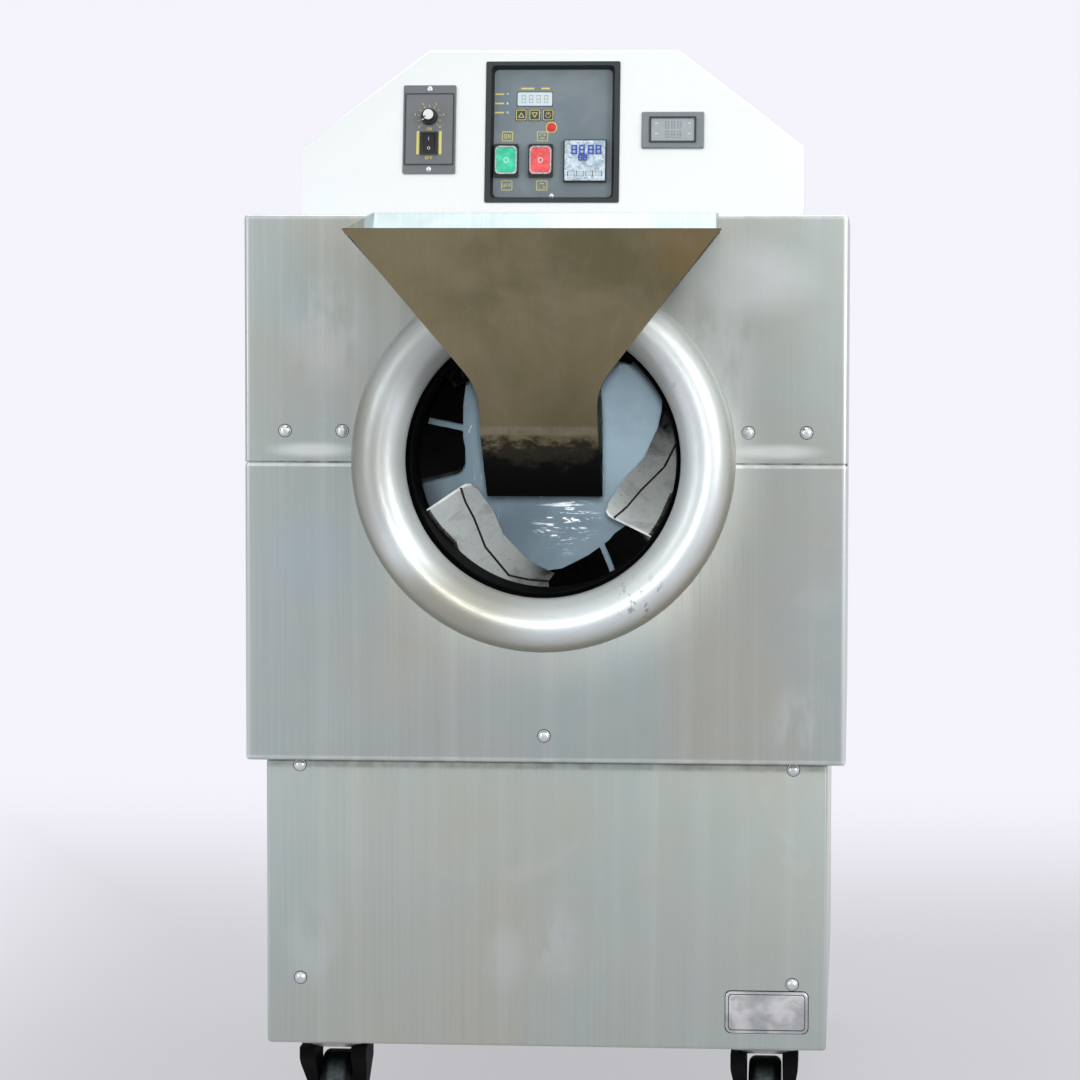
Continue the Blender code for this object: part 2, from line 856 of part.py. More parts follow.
def make_bearing(look):
    """A pillow block: a foot and an arch round the shaft."""
    half_base = bearing_base_width / 2
    base_top = bearing_base_height - bearing_height
    shoulder = math.asin(-base_top / bearing_arch_radius) if -base_top < bearing_arch_radius else 0
    outline = [(-half_base, -bearing_height), (half_base, -bearing_height), (half_base, base_top)]
    outline += arc((0, 0), bearing_arch_radius, -shoulder, math.pi + shoulder, fine_steps)
    outline += [(-half_base, base_top)]
    bm = prism("Y", outline, bearing_start, bearing_start + bearing_width)
    bearing = place("rear_bearing", bm, look, location=(0, front, axis_z))
    bore = disc("Y", shaft_radius + gap, bearing_start - overrun,
                bearing_start + bearing_width + overrun)
    return smooth(combine(bearing, "DIFFERENCE", bore))


def make_gearbox(look):
    """The reduction gearbox, whose output bore takes the drum's shaft."""
    outline = rectangle(gearbox_size, gearbox_size, gearbox_round)
    bm = prism("Y", outline, gearbox_start, gearbox_start + gearbox_length)
    box = place("gearbox", bm, look, location=(0, front, gearbox_z))
    boss = moved(disc("Y", gearbox_boss_radius, gearbox_start - gearbox_boss_length,
                      gearbox_start + overrun), (0, 0, gearbox_offset))
    combine(box, "UNION", boss)
    bore = moved(disc("Y", shaft_radius + gap, gearbox_start - gearbox_boss_length - overrun,
                      gearbox_start + shaft_engagement + gap), (0, 0, gearbox_offset))
    return smooth(combine(box, "DIFFERENCE", bore))


def make_motor(look):
    """The motor: a ribbed barrel, a plain cowl and a terminal box."""
    start = gearbox_start + gearbox_length + gap
    cowl = start + motor_length - cowl_length
    pitch = (cowl - start) / motor_ribs
    profile = [(0, start)]
    for i in range(motor_ribs):
        at = start + i * pitch
        profile += [(motor_radius, at), (motor_radius, at + pitch / 2),
                    (motor_radius - motor_rib_depth, at + pitch / 2),
                    (motor_radius - motor_rib_depth, at + pitch)]
    profile += [(cowl_radius, cowl), (cowl_radius, start + motor_length), (0, start + motor_length)]
    motor = place("motor", turned("Y", profile, fine_steps), look, location=(0, front, gearbox_z))
    half = terminal_box_size / 2
    y_low = start + pitch
    foot = motor_radius - 2 * motor_rib_depth
    box = block(-half.x, half.x, y_low, y_low + terminal_box_size.y, foot,
                foot + terminal_box_size.z)
    return smooth(combine(motor, "UNION", box))


def roller_place(side):
    """The middle of a support roller, seen from the front."""
    reach = track_radius + roller_radius + gap
    return (side * reach * math.sin(roller_angle), axis_z - reach * math.cos(roller_angle))


roller_start = track_start + (track_width - roller_width) / 2


def make_rollers(look):
    """Two rollers that carry the drum's collar."""
    for name, side in (("left_roller", -1), ("right_roller", 1)):
        bore = roller_pin_radius + gap
        rim = roller_radius - roller_chamfer
        profile = [(bore, 0), (rim, 0), (roller_radius, roller_chamfer),
                   (roller_radius, roller_width - roller_chamfer), (rim, roller_width),
                   (bore, roller_width)]
        x, z = roller_place(side)
        bm = turned("Y", profile, small_steps)
        smooth(place(name, bm, look, location=(x, front + roller_start, z)))


# Heating

def tube_profile(inner, outer, start, length):
    """The profile of a plain tube."""
    end = start + length
    return [(inner, start), (outer, start), (outer, end), (inner, end)]


def make_heating(sleeve_look, coil_look, probe_look):
    """The insulating sleeve round the drum, the induction coil on it, and the probe through it."""
    profile = tube_profile(sleeve_inner, sleeve_outer, sleeve_start, sleeve_length)
    sleeve = place("insulation_sleeve", turned("Y", profile, hidden_steps), sleeve_look,
                   location=(0, front, axis_z))
    hole = disc("X", probe_radius + gap, sleeve_inner - overrun, sleeve_outer + overrun, fine_steps)
    combine(sleeve, "DIFFERENCE", moved(hole, (0, sleeve_start + probe_inset, 0)))
    smooth(sleeve)
    profile = tube_profile(sleeve_outer + gap, coil_outer, sleeve_start + coil_inset,
                           sleeve_length - 2 * coil_inset)
    smooth(place("induction_coil", turned("Y", profile, hidden_steps), coil_look,
                 location=(0, front, axis_z)))
    probe = place("temperature_probe",
                  disc("X", probe_radius, drum_radius + sleeve_clearance / 2,
                       sleeve_outer + probe_stickout, fine_steps), probe_look,
                  location=(0, front + sleeve_start + probe_inset, axis_z))
    nut = disc("X", probe_nut_radius, sleeve_outer + gap, sleeve_outer + gap + probe_nut_height,
               hex_steps)
    smooth(combine(probe, "UNION", nut))


def make_power_unit(look):
    """The induction power unit on the cabinet's floor, with its heat sink on one side."""
    low = cabinet_bottom + sheet + gap
    half = unit_size / 2
    outline = rectangle(unit_size.x, unit_size.y, unit_round)
    middle = front + unit_start + half.y
    bm = moved(prism("Z", outline, low, low + unit_size.z), (0, middle, 0))
    unit = place("induction_unit", bm, look)
    fins = []
    span = unit_size.y - 2 * fin_margin
    for i in range(fin_count):
        y = front + unit_start + fin_margin + span * i / (fin_count - 1)
        fins.append(block(half.x - overrun, half.x + fin_depth, y - fin_width / 2,
                          y + fin_width / 2, low + fin_margin, low + unit_size.z - fin_margin))
    return combine(unit, "UNION", merged(*fins))


# Inner frame

def make_inner_frame(look):
    """A welded frame of square tube that carries the drum, the rollers and the drive."""
    half = tube / 2
    base_low = cabinet_bottom + sheet + gap
    posts = (front + front_post_y, front + rear_post_y)
    solids = []
    for side in (-1, 1):
        x = side * frame_x
        solids.append(block(x - half, x + half, posts[0] - half, front + base_rail_end,
                            base_low, base_low + tube))
        solids.append(block(x - half, x + half, posts[0] - half, posts[1] + half,
                            cradle_top - tube, cradle_top))
        for y in posts:
            solids.append(block(x - half + gap, x + half - gap, y - half + gap, y + half - gap,
                                base_low + half, cradle_top - half))
    for y in posts:
        solids.append(block(-frame_x, frame_x, y - half + gap, y + half - gap,
                            cradle_top - tube + gap, cradle_top - gap))
    for y in (posts[0], front + base_rail_end - half):
        solids.append(block(-frame_x, frame_x, y - half + gap, y + half - gap,
                            base_low + gap, base_low + tube - gap))
    plate_y = front + bracket_start
    solids.append(block(-bracket_half_width, bracket_half_width, plate_y, plate_y + bracket_plate,
                        cradle_top - half, axis_z - bracket_drop))
    saddle_low = axis_z - coil_outer - saddle_web
    coil_start = front + sleeve_start + coil_inset
    coil_end = front + sleeve_start + sleeve_length - coil_inset
    for y in (coil_start + saddle_inset, coil_end - saddle_inset):
        solids.append(block(-frame_x, frame_x, y - bracket_plate / 2, y + bracket_plate / 2,
                            saddle_low, axis_z - saddle_drop))
    solids += drive_supports()
    frame = place("inner_frame", solids[0], look)
    for solid in solids[1:]:
        combine(frame, "UNION", solid)
    collar = moved(disc("Y", track_radius + bracket_relief, plate_y - overrun,
                        plate_y + bracket_plate + overrun, hidden_steps), (0, 0, axis_z))
    coil_seat = moved(disc("Y", coil_outer + gap, coil_start, coil_end, hidden_steps),
                      (0, 0, axis_z))
    combine(frame, "DIFFERENCE", collar, coil_seat)
    for side in (-1, 1):
        x, z = roller_place(side)
        pin = disc("Y", roller_pin_radius, front + roller_start - gap, plate_y + bracket_plate / 2,
                   fine_steps)
        combine(frame, "UNION", moved(pin, (x, 0, z)))
    return frame


def drive_supports():
    """The pedestal under the bearing and the shelf with its gussets under the gearbox."""
    low = cradle_top - tube / 2
    pedestal_top = axis_z - bearing_height - gap
    start = front + bearing_start
    end = start + bearing_width
    wide = pedestal_half_width
    solids = [block(-wide, wide, start, end, low, pedestal_top)]
    shelf_top = gearbox_z - gearbox_size / 2 - gap
    shelf_end = end + shelf_length
    half = gearbox_size / 2
    solids.append(block(-half, half, end - gusset_plate, shelf_end, shelf_top - shelf_plate,
                        shelf_top))
    gusset = [(end - gusset_plate, low + gusset_plate), (end, low + gusset_plate),
              (shelf_end - gusset_plate, shelf_top - shelf_plate / 2),
              (end - gusset_plate, shelf_top - shelf_plate / 2)]
    for side in (-1, 1):
        middle = side * (half - 2 * gusset_plate)
        solids.append(prism("X", gusset, middle - gusset_plate / 2, middle + gusset_plate / 2))
    return solids


# Hopper

def hopper_outline(depth, step=0):
    """The funnel seen from the front at a depth behind its front rim: a taper that rounds into
    the straight neck. It is moved in by a step, and its sides draw in towards the back."""
    shift = depth / hopper_reach * (hopper_half_width - hopper_back_half_width)
    rim_z = body_top - hopper_rim_drop
    rise = hopper_half_width - spout_half_width
    fall = rim_z - (axis_z + taper_end_height)
    turn = math.atan2(rise, fall)
    neck_top = axis_z + taper_end_height + shift * fall / rise
    middle = (spout_half_width + spout_corner_radius,
              neck_top - spout_corner_radius * math.tan(turn / 2))
    right = [(spout_half_width, axis_z + hopper_lip_height)]
    right += arc(middle, spout_corner_radius, math.pi, math.pi - turn, spout_corner_steps)
    right += [(hopper_half_width - shift, rim_z),
              (hopper_half_width - shift, body_top + hopper_rim_drop)]
    return inset(right + [(-x, z) for x, z in reversed(right)], step)


def hopper_corners():
    """The funnel's corners in the side view: front rim, fold, heel, back bend and rear rim."""
    rim = Vector((front - hopper_reach + hem_rise, body_top - hopper_rim_drop))
    fold = Vector((front - hopper_fold_reach, axis_z + hopper_fold_height))
    heel = Vector((front - hopper_back_reach, fold.y))
    back = Vector((front - hopper_back_reach, body_top - hopper_back_drop))
    hook = Vector((front - gap, body_top + gap + hopper_sheet))
    return rim, fold, heel, back, hook


def within_outline(side, step):
    """A side outline given the hopper's width, within its front outline moved in by a step."""
    wide = hopper_half_width + overrun
    body = place("slice", prism("X", side, -wide, wide))
    low = -overrun
    high = hopper_reach + 2 * overrun
    face = loft("Y", hopper_outline(low, step), front - hopper_reach + low,
                hopper_outline(high, step), front - hopper_reach + high)
    return taken(combine(body, "INTERSECT", face))


def funnel_form(step, rise):
    """The funnel, moved in by a step. The rise lifts its rim along the sheets."""
    rim, fold, heel, back, hook = hopper_corners()
    rim += (rim - fold).normalized() * rise
    hook += (hook - back).normalized() * rise
    return within_outline(inset([rim, fold, heel, back, hook], step), step)


def hem_form():
    """The band round the funnel's rim that its folded hem fills, proud of the sheets."""
    rim, fold, heel, back, hook = hopper_corners()
    down = (fold - rim).normalized()
    first = rim + Vector((down.y, -down.x)) * hem_rise
    last = hook + (back - hook).normalized() * hem_height
    return within_outline([first, first + down * hem_height, last, hook], -hem_rise)


def spout_form(step, reach):
    """The spout from the fold down into the drum's mouth, moved in by a step and lengthened."""
    fold = Vector((front - hopper_fold_reach, axis_z + hopper_fold_height))
    lip = Vector((front + hopper_lip_depth, axis_z + hopper_lip_height))
    top = Vector((fold.x, axis_z + spout_top_height))
    end = lip + Vector((0, spout_height))
    lip += (lip - fold).normalized() * reach
    end += (end - top).normalized() * reach
    side = inset([fold, lip, end, top], step)
    return prism("X", side, step - spout_half_width, spout_half_width - step)


def make_hopper(look):
    """The lift-off hopper, bent from sheet: a funnel whose sheets run into a spout, a hem round
    its rim and a flat hook that rests on the body's top."""
    hopper = place("hopper", funnel_form(0, 0), look)
    combine(hopper, "UNION", hem_form(), spout_form(0, 0))
    reach = 2 * (hopper_sheet + overrun)
    combine(hopper, "DIFFERENCE", funnel_form(hopper_sheet, reach),
            spout_form(hopper_sheet, reach))
    hook = block(-hopper_back_half_width, hopper_back_half_width, front - hopper_sheet,
                 front + hook_length, body_top + gap, body_top + gap + hopper_sheet)
    return smooth(combine(hopper, "UNION", hook))


# Console

console_base = body_top + gap
console_rise = console_face * math.cos(console_tilt)
console_back_y = console_front + console_depth


def console_outline(step=0, drop=0):
    """The console seen from the front: its sides and top moved in by a step, its base lowered."""
    shoulder = console_base + console_shoulder * math.cos(console_tilt)
    top = console_base + console_rise
    points = inset([(-console_half_width, console_base), (console_half_width, console_base),
                    (console_half_width, shoulder), (console_top_half_width, top),
                    (-console_top_half_width, top), (-console_half_width, shoulder)], step)
    base = console_base - drop
    return [(points[0][0], base), (points[1][0], base)] + points[2:]


def console_form(step, drop, y_back):
    """The console's block behind its tilted face."""
    lean = math.tan(console_tilt)
    face = console_front + step / math.cos(console_tilt)
    low = console_base - 2 * overrun
    high = console_base + console_rise + overrun
    side = [(face + (low - console_base) * lean, low), (y_back + overrun, low),
            (y_back + overrun, high), (face + (high - console_base) * lean, high)]
    form = place("form", prism("Y", console_outline(step, drop), console_front, y_back))
    wide = console_half_width + overrun
    return taken(combine(form, "INTERSECT", prism("X", side, -wide, wide)))


def make_console(look, back_look, plane):
    """The console's housing, bent from sheet round its tilted face, and its back."""
    lean = math.tan(console_tilt)

    def on_face(point):
        return abs(point.y - console_front - (point.z - console_base) * lean) < gap / 3

    bm = round_edges(console_form(0, 0, console_back_y),
                     lambda point: on_face(point) and not close_to(point.z, console_base),
                     console_round)
    housing = place("console_housing", bm, look)
    combine(housing, "DIFFERENCE", console_form(sheet, overrun, console_back_y + overrun))
    for middle, height, (width, tall) in panel_cuts():
        window = place("window", prism("Y", rectangle(width, tall), -overrun, overrun),
                       parent=plane, location=(middle, 0, height))
        combine(housing, "DIFFERENCE", taken(window))
    back = prism("Y", console_outline(sheet + gap, 0), console_back_y - sheet, console_back_y)
    panel = place("console_back", back, back_look)
    slots = []
    span = vent_pitch * (console_vents - 1)
    for row in range(console_vents):
        slot = prism("Y", rectangle(vent_length, vent_width, vent_width / 2 - gap),
                     console_back_y - sheet - overrun, console_back_y + overrun)
        height = console_base + console_rise / 2 - span / 2 + row * vent_pitch
        slots.append(moved(slot, (0, 0, height)))
    combine(panel, "DIFFERENCE", merged(*slots))


def panel_cuts():
    """The windows in the console's face: each one's middle, height and size."""
    tray = [tray_width - 2 * tray_rim[0] + 2 * tray_wall + 2 * panel_fit,
            tray_height - 2 * tray_rim[1] + 2 * tray_wall + 2 * panel_fit]
    speed = [side + 2 * panel_fit for side in speed_body]
    meter = [side + 2 * panel_fit for side in meter_body]
    return ((0, tray_middle, tray), (*speed_place, speed), (*meter_place, meter))


def panel_block(size, corner, y_low, y_high):
    """A block with round corners, square to the console's face."""
    return prism("Y", rectangle(*size, corner), y_low, y_high)


def make_tray(look, plane):
    """The moulded tray that the controls sit in: a rim, drafted walls and a floor with holes."""
    tray = place("control_tray", panel_block((tray_width, tray_height), tray_corner,
                                             -tray_rim_rise, -gap),
                 look, plane, (0, 0, tray_middle))
    opening = Vector((tray_width - 2 * tray_rim[0], tray_height - 2 * tray_rim[1]))
    wall = Vector((2 * tray_wall, 2 * tray_wall))
    body = panel_block(opening + wall, tray_recess_corner, -tray_rim_rise / 2,
                       floor_y + tray_floor)
    combine(tray, "UNION", body)
    draft = Vector((2 * tray_draft, 2 * tray_draft))
    ahead = overrun / tray_depth
    recess = loft("Y", rectangle(*(opening + draft * ahead), tray_recess_corner),
                  -tray_rim_rise - overrun, rectangle(*(opening - draft), tray_recess_corner),
                  floor_y)
    combine(tray, "DIFFERENCE", recess)
    holes = []
    for (x, height), size in tray_holes():
        outline = rectangle(size[0] + 2 * gap, size[1] + 2 * gap)
        holes.append(moved(prism("Y", outline, floor_y - overrun, floor_y + 2 * overrun),
                           (x, 0, height - tray_middle)))
    return smooth(combine(tray, "DIFFERENCE", merged(*holes)))


def switch_body():
    """The outside of a rocker switch behind its frame."""
    return [side + 2 * switch_shell for side in switch_opening]


def tray_holes():
    """What passes through the tray's floor: each one's place and size."""
    holes = [(display_place, display_size),
             (controller_place, (controller_body, controller_body))]
    holes += [((x, key_height), key_size) for x in key_places.values()]
    holes += [((x, switch_height), switch_body()) for x in switch_places.values()]
    return holes


def rocker_solid(width, radius, rise, valley, depth):
    """A rocker about its pivot: a hollowed face, round ends and a flat back."""
    front_turn = math.asin(rise / radius)
    back_turn = math.asin(depth / radius)
    end = arc((0, 0), radius, -front_turn, back_turn, bend_steps + 1)
    side = [(-valley, 0)] + [(y, z) for z, y in end] + [(y, -z) for z, y in reversed(end)]
    return prism("X", side, -width / 2, width / 2)


def make_tray_pieces(looks, plane):
    """The display window, the keys and the two rocker switches in the tray."""
    middle, height = display_place
    place("display_window", panel_block(display_size, key_corner, floor_y - display_rise,
                                        floor_y - display_rise + display_thickness),
          looks["window"], plane, (middle, 0, height))
    for name, middle in key_places.items():
        cap = panel_block(key_size, key_corner, floor_y - key_rise,
                          floor_y - key_rise + key_thickness)
        place(name, cap, looks["key"], plane, (middle, 0, key_height))
    pivot = floor_y - switch_frame_rise + switch_pivot_depth
    radius = switch_opening[1] / 2 - rocker_fit
    for name, middle in switch_places.items():
        frame = place(f"{name}_switch",
                      panel_block(switch_frame, switch_corner, floor_y - switch_frame_rise,
                                  floor_y - gap), looks["switch"], plane,
                      (middle, 0, switch_height))
        body = panel_block(switch_body(), 0, floor_y - switch_frame_rise / 2,
                           floor_y + switch_body_depth)
        combine(frame, "UNION", body)
        cavity = panel_block(switch_opening, 0, floor_y - switch_frame_rise - overrun,
                             pivot + radius + 2 * rocker_fit)
        smooth(combine(frame, "DIFFERENCE", cavity))
        rocker = rocker_solid(switch_opening[0] - 2 * rocker_fit, radius, rocker_rise,
                              rocker_valley, rocker_depth)
        local = plane.matrix_world @ Vector((middle, pivot, switch_height))
        smooth(place(f"{name}_rocker", rocker, looks[name], location=local,
                     rotation=plane.rotation_euler))


def make_temperature_controller(looks, plane):
    """The temperature controller: its bezel with a window and four key pockets, and the keys."""
    middle, height = controller_place
    face = floor_y - controller_rise
    size = (controller_size, controller_size)
    bm = panel_block(size, controller_round, face, floor_y - gap)
    round_edges(bm, lambda point: close_to(point.y, face), controller_round / 2, 1)
    unit = place("temperature_controller", bm, looks["controller"], plane, (middle, 0, height))
    body = panel_block((controller_body, controller_body), 0, floor_y - controller_rise / 2,
                       floor_y + controller_body_depth)
    combine(unit, "UNION", body)
    cuts = [moved(panel_block(controller_window, controller_round, face - overrun,
                              face + controller_recess), (0, 0, controller_window_shift))]
    pocket = [side + 2 * gap for side in controller_key_size]
    top = face - controller_key_rise
    span = controller_key_pitch * (controller_key_count - 1)
    for i in range(controller_key_count):
        x = i * controller_key_pitch - span / 2
        cuts.append(moved(panel_block(pocket, 0, face - overrun,
                                      face + controller_key_thickness + gap),
                          (x, 0, controller_key_shift)))
        cap = panel_block(controller_key_size, controller_key_corner, top,
                          top + controller_key_thickness)
        place(f"controller_key_{i + 1}", cap, looks["controller_key"], plane,
              (middle + x, 0, height + controller_key_shift))
    return combine(unit, "DIFFERENCE", merged(*cuts))


def make_speed_controller(looks, plane):
    """The speed controller: its plate and body, the run rocker and the speed knob."""
    middle, height = speed_place
    face = -speed_thickness - speed_face_rise
    top = face - speed_switch_rise
    unit = place("speed_controller", panel_block(speed_size, speed_corner, -speed_thickness, -gap),
                 looks["speed"], plane, (middle, 0, height))
    body = panel_block(speed_body, 0, -speed_thickness / 2, speed_body_depth)
    plate = panel_block(speed_face, speed_corner / 2, face, -speed_thickness / 2)
    raised = moved(panel_block(speed_switch_frame, speed_corner / 2, top, -speed_thickness / 2),
                   (0, 0, speed_switch_drop))
    combine(unit, "UNION", body, plate, raised)
    pivot = top + speed_pivot_depth
    radius = speed_switch_opening[1] / 2 - rocker_fit
    cavity = moved(panel_block(speed_switch_opening, 0, top - overrun,
                               pivot + radius + 2 * rocker_fit), (0, 0, speed_switch_drop))
    hole = moved(disc("Y", knob_spindle_radius + gap, face - overrun,
                      face + knob_spindle_length + gap, fine_steps), (0, 0, knob_height))
    smooth(combine(unit, "DIFFERENCE", cavity, hole))
    rocker = rocker_solid(speed_switch_opening[0] - 2 * rocker_fit, radius, speed_rocker_rise,
                          speed_rocker_valley, speed_rocker_depth)
    local = plane.matrix_world @ Vector((middle, pivot, height + speed_switch_drop))
    tilt = plane.rotation_euler.x + rocker_throw
    smooth(place("run_rocker", rocker, looks["rocker"], location=local, rotation=(tilt, 0, 0)))
    base = face - gap
    lip = base - knob_skirt_height
    end = base - knob_cap_height
    profile = [(0, base + knob_spindle_length), (knob_spindle_radius, base + knob_spindle_length),
               (knob_spindle_radius, base), (knob_skirt_radius, base),
               (knob_skirt_radius, lip + knob_round), (knob_skirt_radius - knob_round, lip),
               (knob_cap_radius, lip), (knob_cap_radius, end + knob_round),
               (knob_cap_radius - knob_round, end), (0, end)]
    knob = place("speed_knob", turned("Y", profile, small_steps), looks["knob"], plane,
                 (middle, 0, height + knob_height), (0, knob_pointer_angle, 0))
    half = knob_pointer_width / 2
    pointer = block(-half, half, lip - 2 * half, lip + knob_round, knob_cap_radius - knob_round,
                    knob_skirt_radius - knob_round)
    return smooth(combine(knob, "UNION", pointer))


def make_power_meter(look, plane):
    """The power meter: a bezel, a raised inner frame, a window and the body behind the face."""
    middle, height = meter_place
    bm = panel_block(meter_size, meter_round, -meter_rise, -gap)
    round_edges(bm, lambda point: close_to(point.y, -meter_rise), meter_round / 2, 1)
    meter = place("power_meter", bm, look, plane, (middle, 0, height))
    body = panel_block(meter_body, 0, -meter_rise / 2, meter_body_depth)
    raised = panel_block(meter_frame, meter_round / 2, -meter_rise - meter_frame_rise,
                         -meter_rise / 2)
    combine(meter, "UNION", body, raised)
    window = panel_block(meter_window, 0, -meter_rise - meter_frame_rise - overrun,
                         -meter_rise - meter_frame_rise + meter_window_depth)
    return combine(meter, "DIFFERENCE", window)


# Casters

def make_fork(name, look, x, y):
    """A caster's fork: a crown with an open front, two legs that draw in towards the axle, and
    the axle."""
    crown_low = crown_top - fork_crown
    foot = axle_z - fork_foot_radius
    inner = wheel_width / 2 + fork_side_gap
    right = [(fork_foot_half_width, foot), (fork_half_width, crown_low - fork_shoulder),
             (fork_half_width, crown_top)]
    outline = [(inner, crown_low), (inner, foot)] + right
    outline += [(-a, b) for a, b in reversed(outline)]
    side = [(fork_rear, crown_top + overrun), (-fork_front, crown_top + overrun),
            (-fork_front, crown_low - fork_shoulder / 2)]
    side += arc((caster_trail, axle_z), fork_foot_radius, -math.pi, 0, bend_steps * 2)
    side += [(fork_rear, crown_low - fork_shoulder)]
    fork = place(name, prism("Y", outline, -2 * fork_rear, 2 * fork_rear), look,
                 location=(x, y, 0))
    combine(fork, "INTERSECT", prism("X", side, -2 * fork_half_width, 2 * fork_half_width))
    combine(fork, "DIFFERENCE", block(-inner, inner, -2 * fork_front, -fork_crown_front,
                                      foot - overrun, crown_top + overrun))
    axle = disc("X", axle_radius, gap - fork_foot_half_width, fork_foot_half_width - gap,
                fine_steps)
    return smooth(combine(fork, "UNION", moved(axle, (0, caster_trail, axle_z))))


def make_wheel(name, look, x, y):
    """A caster's wheel: a round-shouldered tyre on a recessed hub."""
    half = wheel_width / 2
    bore = axle_radius + gap
    shoulder = arc((wheel_radius - wheel_round, half - wheel_round), wheel_round, 0, math.pi / 2,
                   bend_steps)
    right = [(bore, half - wheel_hub_recess), (wheel_hub_radius, half - wheel_hub_recess),
             (wheel_hub_radius + wheel_hub_recess, half)] + shoulder[::-1]
    profile = right + [(r, -h) for r, h in reversed(right)]
    return smooth(place(name, turned("X", profile, small_steps), look, location=(x, y, axle_z)))


def make_casters(plate_look, fork_look, wheel_look):
    """Four swivel casters under the cabinet."""
    top = caster_height - gap
    for side, x in (("left", caster_inset - cabinet_half), ("right", cabinet_half - caster_inset)):
        for end, y in (("front", cabinet_front + caster_front_inset),
                       ("rear", cabinet_rear - caster_front_inset)):
            name = f"{end}_{side}"
            outline = rectangle(caster_plate.x, caster_plate.y, caster_plate_corner)
            plate = place(f"{name}_plate", prism("Z", outline, top - caster_plate.z, top),
                          plate_look, location=(x, y, 0))
            race = disc("Z", raceway_radius, crown_top + gap, top - caster_plate.z / 2)
            smooth(combine(plate, "UNION", race))
            make_fork(f"{name}_fork", fork_look, x, y)
            make_wheel(f"{name}_wheel", wheel_look, x, y + caster_trail)


def make_gland(look):
    """The cable gland at the cabinet's back."""
    nut = disc("Y", gland_radius, gap, gland_nut_length, hex_steps)
    gland = place("cable_gland", nut, look, location=(gland_side_inset - cabinet_half, cabinet_rear,
                                                      cabinet_bottom + gland_rise))
    neck = gland_radius * math.cos(math.pi / 6)
    profile = [(0, gland_nut_length / 2), (neck, gland_nut_length / 2),
               (neck, (gland_nut_length + gland_length) / 2), (neck / 2 + gland_bore / 2, gland_length),
               (0, gland_length)]
    combine(gland, "UNION", turned("Y", profile, fine_steps))
    bore = disc("Y", gland_bore, gland_nut_length, gland_length + overrun, fine_steps)
    return smooth(combine(gland, "DIFFERENCE", bore))


def build():
    """Builds the whole machine in an emptied scene."""
    for obj in list(bpy.data.objects):
        bpy.data.objects.remove(obj)
    steel = ((0.66, 0.69, 0.68), 0.32, 1)
    bright = ((0.86, 0.88, 0.88), 0.28, 1)
    polished = ((0.74, 0.74, 0.72), 0.18, 1)
    drum_steel = ((0.50, 0.53, 0.58), 0.30, 1)
    frame_paint = ((0.20, 0.21, 0.22), 0.55, 0)
    cast = ((0.10, 0.16, 0.13), 0.50, 0)
    machined = ((0.55, 0.55, 0.56), 0.30, 1)
    wool = ((0.80, 0.78, 0.70), 0.90, 0)
    copper = ((0.62, 0.30, 0.14), 0.45, 0)
    plastic = ((0.020, 0.022, 0.025), 0.42, 0)
    grey = ((0.17, 0.18, 0.19), 0.50, 0)
    slate = ((0.09, 0.11, 0.13), 0.45, 0)
    window = ((0.45, 0.48, 0.50), 0.20, 0)
    green = ((0.02, 0.50, 0.22), 0.15, 0)
    red = ((0.62, 0.03, 0.03), 0.15, 0)
    film = ((0.60, 0.64, 0.68), 0.30, 0)
    zinc = ((0.60, 0.60, 0.58), 0.40, 1)
    tyre = ((0.045, 0.045, 0.045), 0.60, 0)

    make_cabinet_shell(steel)
    smooth(pan("cabinet_front_panel", steel, cabinet_half, cabinet_bottom, body_bottom - gap,
               cabinet_front, cabinet_front + pan_return))
    cabinet_back = pan("cabinet_rear_panel", steel, cabinet_half, cabinet_bottom,
                       body_bottom - gap, cabinet_rear, cabinet_rear - pan_return)
    smooth(add_louvres(cabinet_back, cabinet_rear, cabinet_bottom + cabinet_height / 2))
    make_upper_cover(steel)
    make_lower_shell(steel)
    body_back = pan("body_rear_panel", steel, body_half, body_bottom, body_top, rear,
                    rear - pan_return)
    smooth(add_louvres(body_back, rear, axis_z - lap_height))
    make_mouth_ring(polished)
    make_drum(drum_steel)
    make_flights(drum_steel)
    make_drum_shaft(machined)
    make_bearing(cast)
    make_gearbox(machined)
    make_motor(grey)
    make_rollers(machined)
    make_heating(wool, copper, machined)
    make_power_unit(grey)
    make_inner_frame(frame_paint)
    make_hopper(steel)

    plane = bpy.data.objects.new("console_plane", None)
    plane.location = (0, console_front, console_base)
    plane.rotation_euler = (-console_tilt, 0, 0)
    bpy.context.scene.collection.objects.link(plane)
    bpy.context.view_layer.update()
    looks = {"window": window, "key": slate, "switch": plastic, "heater": green,
             "direction": red, "controller": plastic, "controller_key": film, "speed": grey,
             "rocker": plastic, "knob": plastic}
    make_console(bright, bright, plane)
    make_tray(plastic, plane)
    make_tray_pieces(looks, plane)
    make_temperature_controller(looks, plane)
    make_speed_controller(looks, plane)
    make_power_meter(grey, plane)
    make_casters(zinc, plastic, tyre)
    make_gland(plastic)


build()
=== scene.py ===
# The looks of the cocoa bean roaster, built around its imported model.
# Metres, +Z up, the front faces -Y.
import json
import math

import bmesh
import bpy
from mathutils import Matrix, Vector, noise


